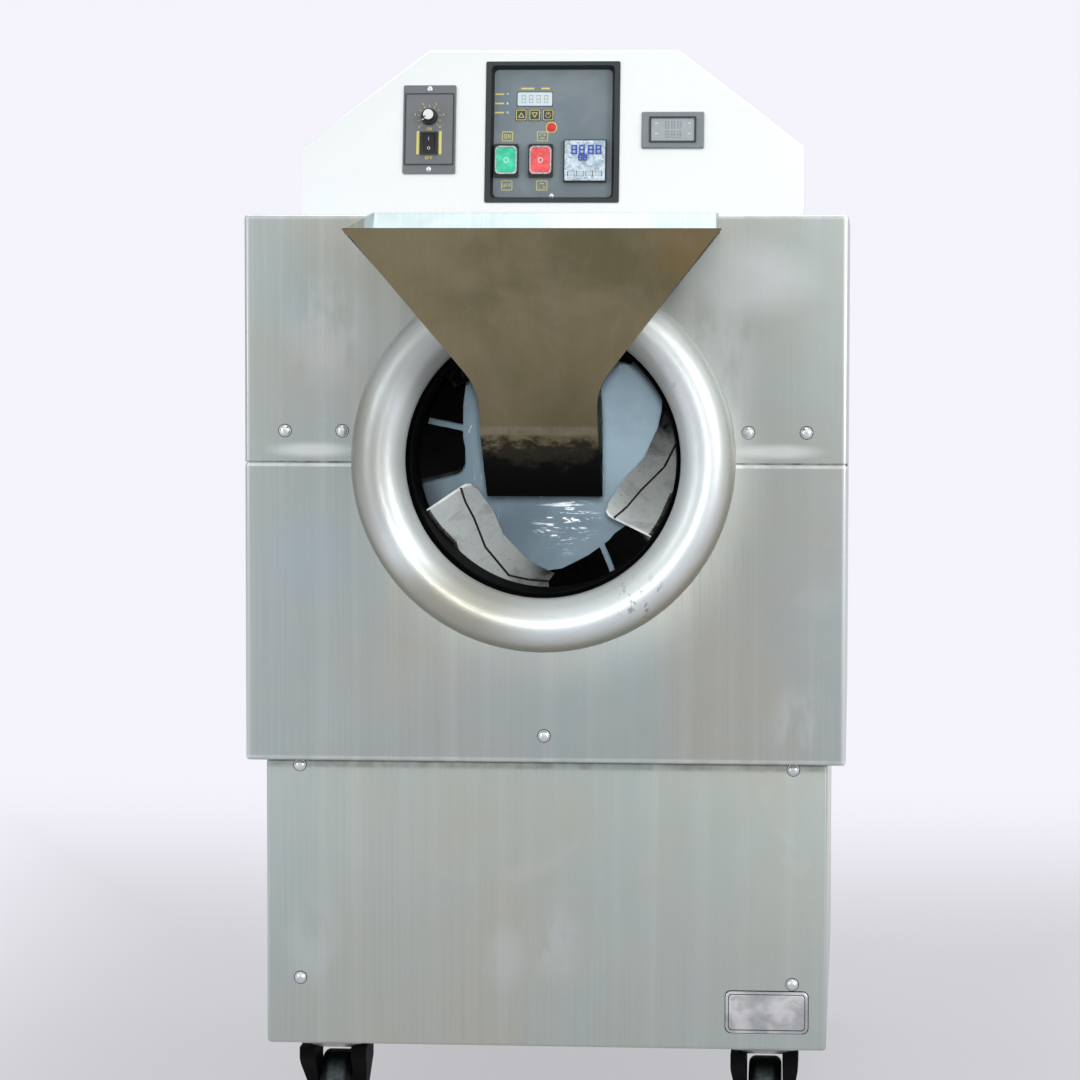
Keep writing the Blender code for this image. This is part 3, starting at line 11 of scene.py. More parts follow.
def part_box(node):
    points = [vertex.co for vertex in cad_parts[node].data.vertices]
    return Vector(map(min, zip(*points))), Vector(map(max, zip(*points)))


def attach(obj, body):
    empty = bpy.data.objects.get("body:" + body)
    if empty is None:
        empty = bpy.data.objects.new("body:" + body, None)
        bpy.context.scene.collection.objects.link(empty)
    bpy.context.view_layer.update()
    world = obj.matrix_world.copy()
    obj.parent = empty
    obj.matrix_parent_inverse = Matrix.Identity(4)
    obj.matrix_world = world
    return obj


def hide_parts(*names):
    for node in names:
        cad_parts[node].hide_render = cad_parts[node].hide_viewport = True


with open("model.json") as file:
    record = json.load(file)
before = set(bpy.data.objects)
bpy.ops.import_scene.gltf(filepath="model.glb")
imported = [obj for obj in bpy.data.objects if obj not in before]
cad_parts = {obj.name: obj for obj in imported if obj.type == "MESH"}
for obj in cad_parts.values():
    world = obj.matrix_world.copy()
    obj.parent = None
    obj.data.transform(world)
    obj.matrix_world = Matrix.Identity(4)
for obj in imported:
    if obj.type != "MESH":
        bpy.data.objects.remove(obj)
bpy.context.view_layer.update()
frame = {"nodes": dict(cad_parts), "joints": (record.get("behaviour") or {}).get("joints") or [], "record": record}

bpy.context.scene.view_settings.view_transform = "Standard"

# Places taken from the frame
cover_low, cover_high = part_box("upper_cover")
shell_low, shell_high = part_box("lower_shell")
cabinet_low, cabinet_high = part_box("cabinet_front_panel")
ring_low, ring_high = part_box("mouth_ring")
drum_low, drum_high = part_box("drum")
hopper_low, hopper_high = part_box("hopper")
rear_low, rear_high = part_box("body_rear_panel")
cabinet_rear_low, cabinet_rear_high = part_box("cabinet_rear_panel")
front_y = cover_low.y
seam_z = cover_low.z
axis_z = (ring_low.z + ring_high.z) / 2
axis_centre = (0.0, axis_z)
body_bottom = shell_low.z
body_top = cover_high.z
cabinet_y = cabinet_low.y
cabinet_bottom = cabinet_low.z
hub_length = 0.018
drum_rear_wall = 0.004
disc_y = drum_high.y - hub_length - drum_rear_wall
fold_y = front_y - 0.072
fold_z = axis_z + 0.028

# The console's face: x across it, z up along it and y into it
joints = {joint["name"]: joint for joint in frame["joints"]}
press = Vector(joints["up_press"]["axis"])
face_tilt = math.asin(-press.z)
console_low, console_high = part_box("console_housing")
face_origin = Vector((0, console_low.y, console_low.z))
face_frame = Matrix.Translation(face_origin) @ Matrix.Rotation(-face_tilt, 4, "X")

lift = 0.0002
fine = 0.0001
smooth_limit = math.radians(31)
full_turn = 2 * math.pi


# Meshes

def finished(name, bm, look, body, matrix=None, angle=smooth_limit):
    """Makes a piece of a mesh. It rides on a body and takes the material it is given."""
    if matrix is not None:
        bmesh.ops.transform(bm, matrix=matrix, verts=bm.verts)
    bmesh.ops.recalc_face_normals(bm, faces=bm.faces)
    mesh = bpy.data.meshes.new(name)
    bm.to_mesh(mesh)
    bm.free()
    mesh.shade_smooth()
    mesh.set_sharp_from_angle(angle=angle)
    mesh.materials.append(look)
    piece = bpy.data.objects.new(name, mesh)
    bpy.context.scene.collection.objects.link(piece)
    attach(piece, body)
    return piece


def joined(*parts):
    """Several meshes as one."""
    whole = bmesh.new()
    for part in parts:
        mesh = bpy.data.meshes.new("part")
        part.to_mesh(mesh)
        part.free()
        whole.from_mesh(mesh)
        bpy.data.meshes.remove(mesh)
    return whole


def shifted(bm, x=0, y=0, z=0):
    """The same mesh, moved."""
    bmesh.ops.translate(bm, verts=bm.verts, vec=(x, y, z))
    return bm


def spun(bm, angle, axis="Y"):
    """The same mesh, turned about an axis through the origin."""
    bmesh.ops.rotate(bm, verts=bm.verts, matrix=Matrix.Rotation(angle, 3, axis))
    return bm


def arc(middle, radius, start, end, steps):
    """Points of an arc in a plane."""
    turns = [start + (end - start) * i / steps for i in range(steps + 1)]
    return [(middle[0] + radius * math.cos(t), middle[1] + radius * math.sin(t)) for t in turns]


def round_box(width, height, radius, steps=5):
    """The outline of a rectangle with round corners, anticlockwise about the origin."""
    corners = ((1, -1, -math.pi / 2), (1, 1, 0), (-1, 1, math.pi / 2), (-1, -1, math.pi))
    points = []
    for x, z, turn in corners:
        middle = (x * (width / 2 - radius), z * (height / 2 - radius))
        points += arc(middle, radius, turn, turn + math.pi / 2, steps)
    return points


def plate(outline, y_low, y_high, bevel=0, steps=2):
    """An outline in the XZ plane as a plate, with its front edge bevelled."""
    bm = bmesh.new()
    front = [bm.verts.new((x, y_low, z)) for x, z in outline]
    back = [bm.verts.new((x, y_high, z)) for x, z in outline]
    face = bm.faces.new(front)
    bm.faces.new(back[::-1])
    for i in range(len(front)):
        j = (i + 1) % len(front)
        bm.faces.new((front[i], back[i], back[j], front[j]))
    if bevel:
        bmesh.ops.bevel(bm, geom=list(face.edges), offset=bevel, offset_type="OFFSET",
                        segments=steps, profile=0.5, affect="EDGES", clamp_overlap=True)
    return bm


def band(outer, inner, y_low, y_high):
    """A flat frame between two outlines with as many points."""
    bm = bmesh.new()
    rings = [[bm.verts.new((x, y, z)) for x, z in line]
             for line, y in ((outer, y_low), (inner, y_low), (inner, y_high), (outer, y_high))]
    for one, two in zip(rings, rings[1:] + rings[:1]):
        for i in range(len(one)):
            j = (i + 1) % len(one)
            bm.faces.new((one[i], one[j], two[j], two[i]))
    return bm


def turned(profile, steps, axis="Y", closed=True):
    """A profile of (radius, height) points, spun about an axis through the origin."""
    bm = bmesh.new()
    places = {"X": lambda r, h: (h, r, 0), "Y": lambda r, h: (r, h, 0), "Z": lambda r, h: (r, 0, h)}
    points = [bm.verts.new(places[axis](r, h)) for r, h in profile]
    pairs = list(zip(points, points[1:])) + ([(points[-1], points[0])] if closed else [])
    for one, two in pairs:
        bm.edges.new((one, two))
    turn = {"X": (1, 0, 0), "Y": (0, 1, 0), "Z": (0, 0, 1)}[axis]
    bmesh.ops.spin(bm, geom=bm.verts[:] + bm.edges[:], cent=(0, 0, 0), axis=turn,
                   angle=full_turn, steps=steps, use_merge=True)
    bmesh.ops.remove_doubles(bm, verts=bm.verts, dist=fine / 10)
    bmesh.ops.dissolve_degenerate(bm, edges=bm.edges, dist=fine / 10)
    return bm


def bead(path, radius, sides=8, ripple=0):
    """A round bead along a path of points, with closed ends and a ripple like a weld's."""
    bm = bmesh.new()
    rings = []
    for i, here in enumerate(path):
        ahead = Vector(path[min(i + 1, len(path) - 1)]) - Vector(path[max(i - 1, 0)])
        side = ahead.cross(Vector((0.31, 0.87, 0.39))).normalized()
        up = side.cross(ahead).normalized()
        own = radius * (1 + ripple * math.sin(2.4 * i))
        rings.append([bm.verts.new(Vector(here) + side * own * math.cos(t) + up * own * math.sin(t))
                      for t in (full_turn * k / sides for k in range(sides))])
    bm.faces.new(rings[0])
    bm.faces.new(rings[-1])
    for one, two in zip(rings, rings[1:]):
        for k in range(sides):
            j = (k + 1) % sides
            bm.faces.new((one[k], one[j], two[j], two[k]))
    return bm


def spread(path, pitch):
    """The points of a path at an even pitch."""
    points = [Vector(point) for point in path]
    made = []
    for one, two in zip(points, points[1:]):
        count = max(round((two - one).length / pitch), 1)
        made += [one.lerp(two, i / count) for i in range(count)]
    return made + [points[-1]]


def stroke(points, width, y, thickness=lift):
    """A flat line of one width through points of the XZ plane."""
    parts = []
    half = width / 2
    for one, two in zip(points, points[1:]):
        one, two = Vector(one), Vector(two)
        along = (two - one).normalized() * half
        side = Vector((-along.y, along.x))
        corners = (one - along - side, two + along - side, two + along + side, one - along + side)
        parts.append(plate([tuple(corner) for corner in corners], y - thickness, y))
    return joined(*parts)


def loop(width, height, radius, line, y, thickness=lift):
    """A printed outline with round corners."""
    outer = round_box(width, height, radius)
    inner = round_box(width - 2 * line, height - 2 * line, max(radius - line, line / 2))
    return band(outer, inner, y - thickness, y)


segments = {"a": ((0, 1), (1, 1)), "b": ((1, 1), (1, 0.5)), "c": ((1, 0.5), (1, 0)),
            "d": ((0, 0), (1, 0)), "e": ((0, 0), (0, 0.5)), "f": ((0, 0.5), (0, 1)),
            "g": ((0, 0.5), (1, 0.5))}
digit_segments = {"0": "abcdef", "1": "bc", "2": "abged", "3": "abgcd", "4": "fgbc",
                  "5": "afgcd", "6": "afgedc", "7": "abc", "8": "abcdefg", "9": "abcdfg"}
letter_strokes = {"O": (((0, 0), (1, 0), (1, 1), (0, 1), (0, 0)),),
                  "N": (((0, 0), (0, 1), (1, 0), (1, 1)),),
                  "F": (((0, 0), (0, 1), (1, 1)), ((0, 0.52), (0.8, 0.52)))}


def written(text, height, line, y, gap_share=0.42, width_share=0.55, thickness=lift):
    """Plain digits or capital letters drawn with strokes, centred on the origin."""
    width = height * width_share
    pitch = width + height * gap_share
    start = -(pitch * (len(text) - 1) + width) / 2
    parts = []
    for i, sign in enumerate(text):
        if sign in digit_segments:
            lines = [segments[name] for name in digit_segments[sign]]
        else:
            lines = letter_strokes[sign]
        for points in lines:
            flat = [(start + i * pitch + x * width, (z - 0.5) * height) for x, z in points]
            parts.append(stroke(flat, line, y, thickness))
    return joined(*parts)


def welded(node):
    """A node's mesh with its corners joined."""
    bm = bmesh.new()
    bm.from_mesh(frame["nodes"][node].data)
    bmesh.ops.remove_doubles(bm, verts=bm.verts, dist=fine / 10)
    return bm


def on_face(node):
    """The lowest and highest corners of a node in the frame of the console's face."""
    inverse = face_frame.inverted()
    points = [inverse @ v.co for v in frame["nodes"][node].data.vertices]
    low = Vector([min(p[i] for p in points) for i in range(3)])
    high = Vector([max(p[i] for p in points) for i in range(3)])
    return low, high


def rocker_plane(node, rank):
    """The place of the lower (0) or upper (1) of a rocker's two front faces."""
    bm = welded(node)
    bmesh.ops.dissolve_limit(bm, angle_limit=math.radians(2), verts=bm.verts, edges=bm.edges)
    bm.transform(face_frame.inverted())
    bm.normal_update()
    broad = sorted((f for f in bm.faces if f.normal.y < -0.5), key=lambda f: -f.calc_area())[:2]
    face = sorted(broad, key=lambda f: f.calc_center_median().z)[rank]
    middle = face.calc_center_median()
    tilt = math.asin(-face.normal.z)
    bm.free()
    return face_frame @ Matrix.Translation(middle) @ Matrix.Rotation(tilt, 4, "X")


# Materials

class Look:
    """A procedural material, built one node at a time round a Principled shader."""

    def __init__(self, name):
        self.material = bpy.data.materials.new(name)
        self.material.use_nodes = True
        self.tree = self.material.node_tree
        self.shader = self.tree.nodes["Principled BSDF"]
        self.place = self.node("ShaderNodeTexCoord").outputs["Object"]

    def node(self, kind, **settings):
        made = self.tree.nodes.new(kind)
        for name, value in settings.items():
            setattr(made, name, value)
        return made

    def wire(self, source, target):
        if isinstance(source, (int, float)):
            target.default_value = source
        elif isinstance(source, tuple):
            target.default_value = (*source, 1) if len(source) == 3 else source
        else:
            self.tree.links.new(source, target)

    def noise(self, scale, stretch=(1, 1, 1), detail=2, rough=0.5, bend=0, place=None):
        """Noise between 0 and 1, at a scale of so many lumps to the metre."""
        mapping = self.node("ShaderNodeMapping")
        mapping.inputs["Scale"].default_value = stretch
        self.wire(place or self.place, mapping.inputs["Vector"])
        made = self.node("ShaderNodeTexNoise")
        made.inputs["Scale"].default_value = scale
        made.inputs["Detail"].default_value = detail
        made.inputs["Roughness"].default_value = rough
        made.inputs["Distortion"].default_value = bend
        self.wire(mapping.outputs["Vector"], made.inputs["Vector"])
        return made.outputs["Fac"]

    def sum(self, operation, first, second=0.0, clamp=False):
        made = self.node("ShaderNodeMath", operation=operation, use_clamp=clamp)
        self.wire(first, made.inputs[0])
        self.wire(second, made.inputs[1])
        return made.outputs[0]

    def span(self, value, low, high, to_low=0.0, to_high=1.0):
        """A value carried from one range to another, and held within it."""
        made = self.node("ShaderNodeMapRange", interpolation_type="SMOOTHSTEP")
        for socket, number in zip(made.inputs[1:5], (low, high, to_low, to_high)):
            socket.default_value = number
        self.wire(value, made.inputs[0])
        return made.outputs[0]

    def mix(self, share, first, second, blend="MIX"):
        """A colour between two colours."""
        made = self.node("ShaderNodeMix", data_type="RGBA", blend_type=blend)
        self.wire(share, made.inputs[0])
        self.wire(first, made.inputs[6])
        self.wire(second, made.inputs[7])
        return made.outputs[2]

    def axis(self, name, place=None):
        """One coordinate of the place."""
        made = self.node("ShaderNodeSeparateXYZ")
        self.wire(place or self.place, made.inputs[0])
        return made.outputs[name]

    def radius(self, centre):
        """The distance from the drum's axis."""
        across = self.sum("SUBTRACT", self.axis("X"), centre[0])
        up = self.sum("SUBTRACT", self.axis("Z"), centre[1])
        return self.sum("SQRT", self.sum("ADD", self.sum("POWER", across, 2.0),
                                         self.sum("POWER", up, 2.0)))

    def polar(self, centre, turn_scale):
        """The place as radius, scaled turn and depth about the drum's axis."""
        across = self.sum("SUBTRACT", self.axis("X"), centre[0])
        up = self.sum("SUBTRACT", self.axis("Z"), centre[1])
        turn = self.sum("MULTIPLY", self.sum("ARCTAN2", up, across), turn_scale)
        made = self.node("ShaderNodeCombineXYZ")
        self.wire(self.radius(centre), made.inputs[0])
        self.wire(turn, made.inputs[1])
        self.wire(self.axis("Y"), made.inputs[2])
        return made.outputs[0]

    def sunk(self):
        """The depth behind the console's face."""
        into = face_frame.to_3x3() @ Vector((0, 1, 0))
        made = self.node("ShaderNodeVectorMath", operation="DOT_PRODUCT")
        self.wire(self.place, made.inputs[0])
        made.inputs[1].default_value = into
        return self.sum("SUBTRACT", made.outputs["Value"], into.dot(face_origin))

    def spot(self, centre, size):
        """1 at a place and 0 past an ellipsoid round it."""
        made = self.node("ShaderNodeVectorMath", operation="SUBTRACT")
        self.wire(self.place, made.inputs[0])
        made.inputs[1].default_value = centre
        scaled = self.node("ShaderNodeVectorMath", operation="DIVIDE")
        self.wire(made.outputs[0], scaled.inputs[0])
        scaled.inputs[1].default_value = size
        length = self.node("ShaderNodeVectorMath", operation="LENGTH")
        self.wire(scaled.outputs[0], length.inputs[0])
        return self.span(length.outputs["Value"], 0.25, 1.0, 1.0, 0.0)

    def line(self, axis, level, half):
        """1 on a level of one coordinate and 0 past a half width from it."""
        away = self.sum("ABSOLUTE", self.sum("SUBTRACT", self.axis(axis), level))
        return self.span(away, half * 0.4, half, 1.0, 0.0)

    def bump(self, height, distance, strength=1.0):
        made = self.node("ShaderNodeBump")
        made.inputs["Strength"].default_value = strength
        made.inputs["Distance"].default_value = distance
        self.wire(height, made.inputs["Height"])
        self.wire(made.outputs[0], self.shader.inputs["Normal"])

    def set(self, **sockets):
        names = {"colour": "Base Color", "rough": "Roughness", "metal": "Metallic",
                 "coat": "Coat Weight", "coat_rough": "Coat Roughness", "alpha": "Alpha",
                 "clear": "Transmission Weight", "ior": "IOR", "grain": "Anisotropic",
                 "glow": "Emission Color", "glow_strength": "Emission Strength"}
        for name, value in sockets.items():
            self.wire(value, self.shader.inputs[names[name]])
        return self.material


brush_upright = (1, 1, 0.008)
brush_across = (0.008, 1, 1)


def sheet_steel(name, tone, warm, cool, rough, stretch=brush_upright, cloud_scale=5.0,
                scuff_tone=(0.62, 0.66, 0.66), rubs=(), pale=(), edges=(), seam_shade=(),
                painted_light_by_height=None, brushing=1.0):
    """Brushed stainless sheet: a fine brushing, cloudy warm and cool patches, hazy rub marks, thin scratches,
    patches of painted reflection, painted highlights along edges and painted shade in seams. Its tone may be
    painted lighter at the foot and darker at the top, as the light falls."""
    look = Look(name)
    streak = look.noise(520, stretch, detail=3, rough=0.6)
    broad = look.noise(60, stretch, detail=2)
    cloud = look.noise(cloud_scale, (1, 1, 0.7), detail=3, rough=0.55, bend=0.4)
    second = look.noise(cloud_scale * 2.3, (1, 1, 1.4), detail=2, bend=0.8)
    colour = look.mix(look.span(cloud, 0.35, 0.66), warm, cool)
    colour = look.mix(look.span(second, 0.42, 0.72, 0.0, 0.55), colour, tone)
    # Painted light: the tone is made lighter at the foot and darker at the top, as the light falls.
    if painted_light_by_height:
        foot, top = painted_light_by_height
        tint = look.mix(look.span(look.axis("Z"), cabinet_bottom, body_top), foot, top)
        colour = look.mix(1.0, colour, tint, "MULTIPLY")
    colour = look.mix(look.span(streak, 0.3, 0.7, 0.0, 0.09 * brushing), colour,
                      (0.16, 0.17, 0.17))
    colour = look.mix(look.span(broad, 0.45, 0.75, 0.0, 0.10 * brushing), colour,
                      (0.85, 0.88, 0.88))
    scratch = look.span(look.noise(34, (0.35, 0.35, 2.6), detail=6, rough=0.72, bend=2.2),
                        0.655, 0.70)
    haze = look.span(look.noise(9, (1, 1, 1.5), detail=5, rough=0.62, bend=0.6), 0.60, 0.78)
    marks = look.sum("MAXIMUM", look.sum("MULTIPLY", scratch, 0.32),
                     look.sum("MULTIPLY", haze, 0.22))
    torn = look.span(look.noise(38, (1, 1, 0.35), detail=4, rough=0.6), 0.36, 0.56)
    for centre, size in rubs:
        rub = look.sum("MULTIPLY", look.spot(centre, size), torn)
        marks = look.sum("MAXIMUM", marks, look.sum("MULTIPLY", rub, 0.42))
    colour = look.mix(marks, colour, scuff_tone)
    # Painted reflections: patches of another tone where the sheet shows its surroundings.
    for centre, size, tint, share in pale:
        colour = look.mix(look.sum("MULTIPLY", look.spot(centre, size), share), colour, tint)
    # Painted highlights along edges, unevenly bright.
    for axis, level, half, tint, share in edges:
        wear_and_highlight = look.span(broad, 0.25, 0.7, share * 0.5, share)
        colour = look.mix(look.sum("MULTIPLY", look.line(axis, level, half), wear_and_highlight), colour, tint)
    # Painted shade: dark lines in a seam and under an overhanging edge.
    for axis, level, half, share in seam_shade:
        spread_out = look.span(look.noise(70, (1, 1, 1), detail=4), 0.3, 0.75, share * 0.35, share)
        colour = look.mix(look.sum("MULTIPLY", look.line(axis, level, half), spread_out), colour,
                          (0.12, 0.10, 0.09))
    roughness = look.sum("ADD", look.span(streak, 0.25, 0.75, rough - 0.05, rough + 0.05),
                         look.sum("MULTIPLY", marks, 0.25))
    roughness = look.sum("ADD", roughness, look.span(cloud, 0.3, 0.7, -0.04, 0.04))
    look.bump(look.sum("ADD", streak, look.sum("MULTIPLY", second, 6.0)), 0.00002 * brushing)
    return look.set(colour=colour, rough=roughness, metal=1.0, grain=0.35)


def spun_steel(name, tone, dark, rough, centre, reflections_and_stains=()):
    """Steel turned about the drum's axis: rings of polish, scuffs and dark smears. Given patches, it also has an
    olive band low on its outer rim and tinted patches as painted reflections; a patch with a share below 1 is a
    flecked stain.
    """
    look = Look(name)
    place = look.polar(centre, 0.02)
    rings = look.noise(700, (1, 1, 1), detail=2, place=place)
    smear = look.noise(14, (1, 1, 1), detail=4, rough=0.6, bend=0.5)
    dents = look.span(look.noise(55, (1, 1, 1), detail=5, rough=0.7, bend=1.5), 0.66, 0.72)
    colour = look.mix(look.span(smear, 0.35, 0.7, 0.0, 0.5), tone, dark)
    colour = look.mix(look.span(rings, 0.3, 0.75, 0.0, 0.08), colour, (0.2, 0.2, 0.19))
    colour = look.mix(look.sum("MULTIPLY", dents, 0.25), colour, (0.33, 0.30, 0.26))
    fleck = look.span(look.noise(130, (1, 1, 0.5), detail=4, rough=0.7), 0.56, 0.62)
    # Painted reflection: an olive band on the outer rim, strongest low down, for a brown floor seen in the ring.
    if reflections_and_stains:
        rim = look.span(look.radius(centre), 0.170, 0.189, 0.0, 0.85)
        low = look.span(look.axis("Z"), axis_z - 0.10, axis_z + 0.12, 1.0, 0.35)
        colour = look.mix(look.sum("MULTIPLY", rim, low), colour, (0.36, 0.33, 0.25))
    # Patches of painted reflection, flecked as a stain where the share is below 1.
    for middle, size, tint, share in reflections_and_stains:
        spot = look.sum("MULTIPLY", look.spot(middle, size), share)
        if share < 1:
            spot = look.sum("MULTIPLY", spot, fleck)
        colour = look.mix(spot, colour, tint)
    roughness = look.sum("ADD", look.span(rings, 0.3, 0.7, rough - 0.03, rough + 0.04),
                         look.sum("MULTIPLY", dents, 0.2))
    look.bump(rings, 0.00001)
    if reflections_and_stains:
        satin = look.span(look.radius(centre), 0.1365, 0.156, 0.20, 0.85)
        return look.set(colour=colour, rough=roughness, metal=satin)
    return look.set(colour=colour, rough=roughness, metal=1.0)


def drum_wall_look():
    """Inside the drum: near-black walls that darken with depth, as painted shade and smoke blackening, and a rear
    wall that stays polished and scratched, painted darker towards its rim as shade.
    """
    look = Look("drum_wall")
    # Painted shade, with smoke blackening: the walls darken with depth into the drum.
    depth = look.span(look.axis("Y"), front_y - 0.01, front_y + 0.10)
    cloud = look.noise(16, (1, 1, 1), detail=5, rough=0.62, bend=0.8)
    shade_and_soot = look.sum("ADD", look.sum("MULTIPLY", depth, 0.6),
                    look.span(cloud, 0.3, 0.7, 0.2, 0.6), clamp=True)
    wall = look.mix(shade_and_soot, (0.006, 0.006, 0.006), (0.002, 0.002, 0.002))
    smoke = look.span(look.noise(9, (1, 1, 1), detail=4, rough=0.55, bend=0.6), 0.40, 0.70)
    clean = look.mix(look.sum("MULTIPLY", smoke, 0.6), (0.130, 0.178, 0.210),
                     (0.060, 0.080, 0.100))
    right = look.span(look.axis("X"), -0.02, 0.12)
    clean = look.mix(look.sum("MULTIPLY", right, 0.45), clean, (0.105, 0.135, 0.150))
    # Painted shade: the rear wall darkens towards its rim, where it meets the barrel.
    edge = look.span(look.radius(axis_centre), 0.150, 0.190)
    clean = look.mix(look.sum("MULTIPLY", edge, 0.7), clean, (0.030, 0.036, 0.042))
    wear_and_highlight = look.sum("MULTIPLY", look.spot((-0.010, disc_y, 0.610), (0.045, 0.05, 0.040)),
                    look.span(look.noise(60, (0.25, 1, 1.6), detail=5, rough=0.7, bend=1.8),
                              0.55, 0.62))
    streak = look.span(look.noise(40, (2.2, 1, 0.25), detail=5, rough=0.7, bend=1.2), 0.64, 0.67)
    clean = look.mix(look.sum("MAXIMUM", look.sum("MULTIPLY", wear_and_highlight, 0.85),
                              look.sum("MULTIPLY", streak, 0.35)), clean, (0.92, 0.95, 1.0))
    at_rear = look.span(look.axis("Y"), disc_y - 0.0012, disc_y - 0.0004)
    colour = look.mix(at_rear, wall, clean)
    look.bump(cloud, 0.0001)
    look.shader.inputs["Specular IOR Level"].default_value = 0.05
    rough = look.span(at_rear, 0, 1, 0.70, 0.34)
    return look.set(colour=colour, rough=rough, metal=at_rear)


def flight_look(name, near, far, start, end, top_shade=0.0):
    """A lifting flight: bare, dull steel near the mouth that darkens with depth, as painted shade and smoke
    blackening, and that may be painted darker above the drum's axis as shade.
    """
    look = Look(name)
    depth = look.span(look.axis("Y"), start, end)
    cloud = look.noise(22, (1, 1, 1), detail=5, rough=0.6, bend=0.9)
    stain = look.noise(75, (1, 1, 1), detail=5, rough=0.65, bend=0.6)
    # Painted shade: the flight darkens above the drum's axis; with depth it darkens as painted shade and smoke
    # blackening.
    high = look.span(look.axis("Z"), axis_z - 0.02, axis_z + 0.05, 0.0, top_shade)
    shade_and_soot = look.sum("ADD", look.sum("ADD", look.sum("MULTIPLY", depth, 0.9), high),
                    look.span(cloud, 0.35, 0.72, -0.25, 0.30), clamp=True)
    colour = look.mix(shade_and_soot, near, far)
    warm = look.span(stain, 0.45, 0.72, 0.0, 0.28)
    colour = look.mix(warm, colour, tuple(c * 0.60 for c in near))
    speck = look.span(look.noise(240, (1, 1, 1), detail=3, rough=0.7), 0.64, 0.70, 0.0, 0.55)
    colour = look.mix(speck, colour, (0.05, 0.04, 0.035))
    look.bump(look.sum("ADD", stain, cloud), 0.0003)
    look.shader.inputs["Specular IOR Level"].default_value = 0.2
    return look.set(colour=colour, rough=look.span(cloud, 0.3, 0.7, 0.46, 0.66), metal=0.15)


def funnel_look():
    """The hopper: brown-grey sheet outside with smears, its brown a painted reflection with orange-brown patches
    of painted reflection and a painted highlight along the fold; bright inside its rim; painted near black below
    the fold as shade, and sooty at its spout.
    """
    look = Look("funnel_steel")
    streak = look.noise(420, (1, 0.02, 0.02), detail=3, rough=0.6)
    cloud = look.noise(8, (1, 1, 0.8), detail=4, rough=0.55, bend=0.6)
    smear = look.noise(26, (1, 1, 0.35), detail=5, rough=0.65, bend=0.8)
    # Painted reflection: the outside's brown-grey stands for a brown floor seen in the sheet.
    colour = look.mix(look.span(cloud, 0.35, 0.68), (0.195, 0.168, 0.090), (0.300, 0.255, 0.150))
    # Painted reflections: two orange-brown patches.
    amber_reflection = look.sum("MAXIMUM", look.spot((0.035, fold_y, axis_z + 0.130), (0.075, 0.06, 0.070)),
                     look.spot((0.150, hopper_low.y, axis_z + 0.200), (0.060, 0.05, 0.050)))
    colour = look.mix(look.sum("MULTIPLY", amber_reflection, 0.55), colour, (0.29, 0.20, 0.085))
    colour = look.mix(look.span(smear, 0.48, 0.75, 0.0, 0.30), colour, (0.31, 0.285, 0.205))
    # The painted reflection darkens towards the fold.
    low = look.span(look.axis("Z"), fold_z + 0.01, fold_z + 0.10, 0.45, 0.0)
    colour = look.mix(low, colour, (0.115, 0.098, 0.060))
    colour = look.mix(look.span(streak, 0.3, 0.7, 0.0, 0.05), colour, (0.08, 0.07, 0.05))
    bright = look.mix(look.span(cloud, 0.3, 0.7), (0.33, 0.39, 0.40), (0.45, 0.51, 0.52))
    inside = look.sum("MULTIPLY", look.span(look.axis("Y"), front_y - 0.066, front_y - 0.056),
                      look.span(look.axis("Z"), axis_z + 0.12, axis_z + 0.15))
    colour = look.mix(inside, colour, bright)
    # Painted highlight along the bend of the fold.
    fold_highlight = look.sum("MULTIPLY", look.line("Z", fold_z + 0.003, 0.006),
                     look.span(smear, 0.3, 0.7, 0.15, 0.55))
    colour = look.mix(fold_highlight, colour, (0.36, 0.33, 0.26))
    # Painted shade, with smoke blackening: below the fold the spout turns near black, and blacker deeper in.
    torn = look.span(look.noise(55, (1, 1, 1.6), detail=6, rough=0.7), 0.25, 0.75, -0.010, 0.010)
    height = look.sum("ADD", look.axis("Z"), torn)
    grey = look.span(height, fold_z - 0.014, fold_z - 0.001, 1.0, 0.0)
    colour = look.mix(look.sum("MULTIPLY", grey, 0.9), colour, (0.020, 0.019, 0.015))
    side = look.span(look.sum("ABSOLUTE", look.axis("X")), 0.02, 0.062, 0.0, 0.010)
    shade_and_soot = look.span(look.sum("SUBTRACT", height, side), fold_z - 0.036, fold_z - 0.020, 1.0, 0.0)
    colour = look.mix(shade_and_soot, colour, (0.003, 0.003, 0.003))
    rough = look.sum("ADD", look.span(streak, 0.25, 0.75, 0.26, 0.36),
                     look.sum("MULTIPLY", shade_and_soot, 0.22))
    look.bump(look.sum("ADD", streak, look.sum("MULTIPLY", cloud, 8.0)), 0.00002)
    look.shader.inputs["Specular IOR Level"].default_value = 0.05
    return look.set(colour=colour, rough=rough, metal=look.span(shade_and_soot, 0, 1, 1.0, 0.0))


def moulded(name, tone, rough, speck=0.06, grain=1400, coat=0.0, pores=0.00003, shine=0.5):
    """Moulded plastic or rubber: a fine grain, slight mottling and rubbed spots."""
    look = Look(name)
    look.shader.inputs["Specular IOR Level"].default_value = shine
    skin = look.noise(grain, detail=2)
    mottle = look.noise(30, detail=3, bend=0.4)
    lighter = tuple(min(c * 1.6 + 0.03, 1) for c in tone)
    colour = look.mix(look.span(mottle, 0.35, 0.75, 0.0, speck * 2), tone, lighter)
    rubbed = look.span(look.noise(120, detail=5, rough=0.7), 0.62, 0.72, 0.0, speck)
    colour = look.mix(rubbed, colour, lighter)
    look.bump(skin, pores)
    look.set(colour=colour, rough=look.span(mottle, 0.3, 0.7, rough - 0.05, rough + 0.06))
    return look.set(coat=coat, coat_rough=0.08) if coat else look.material


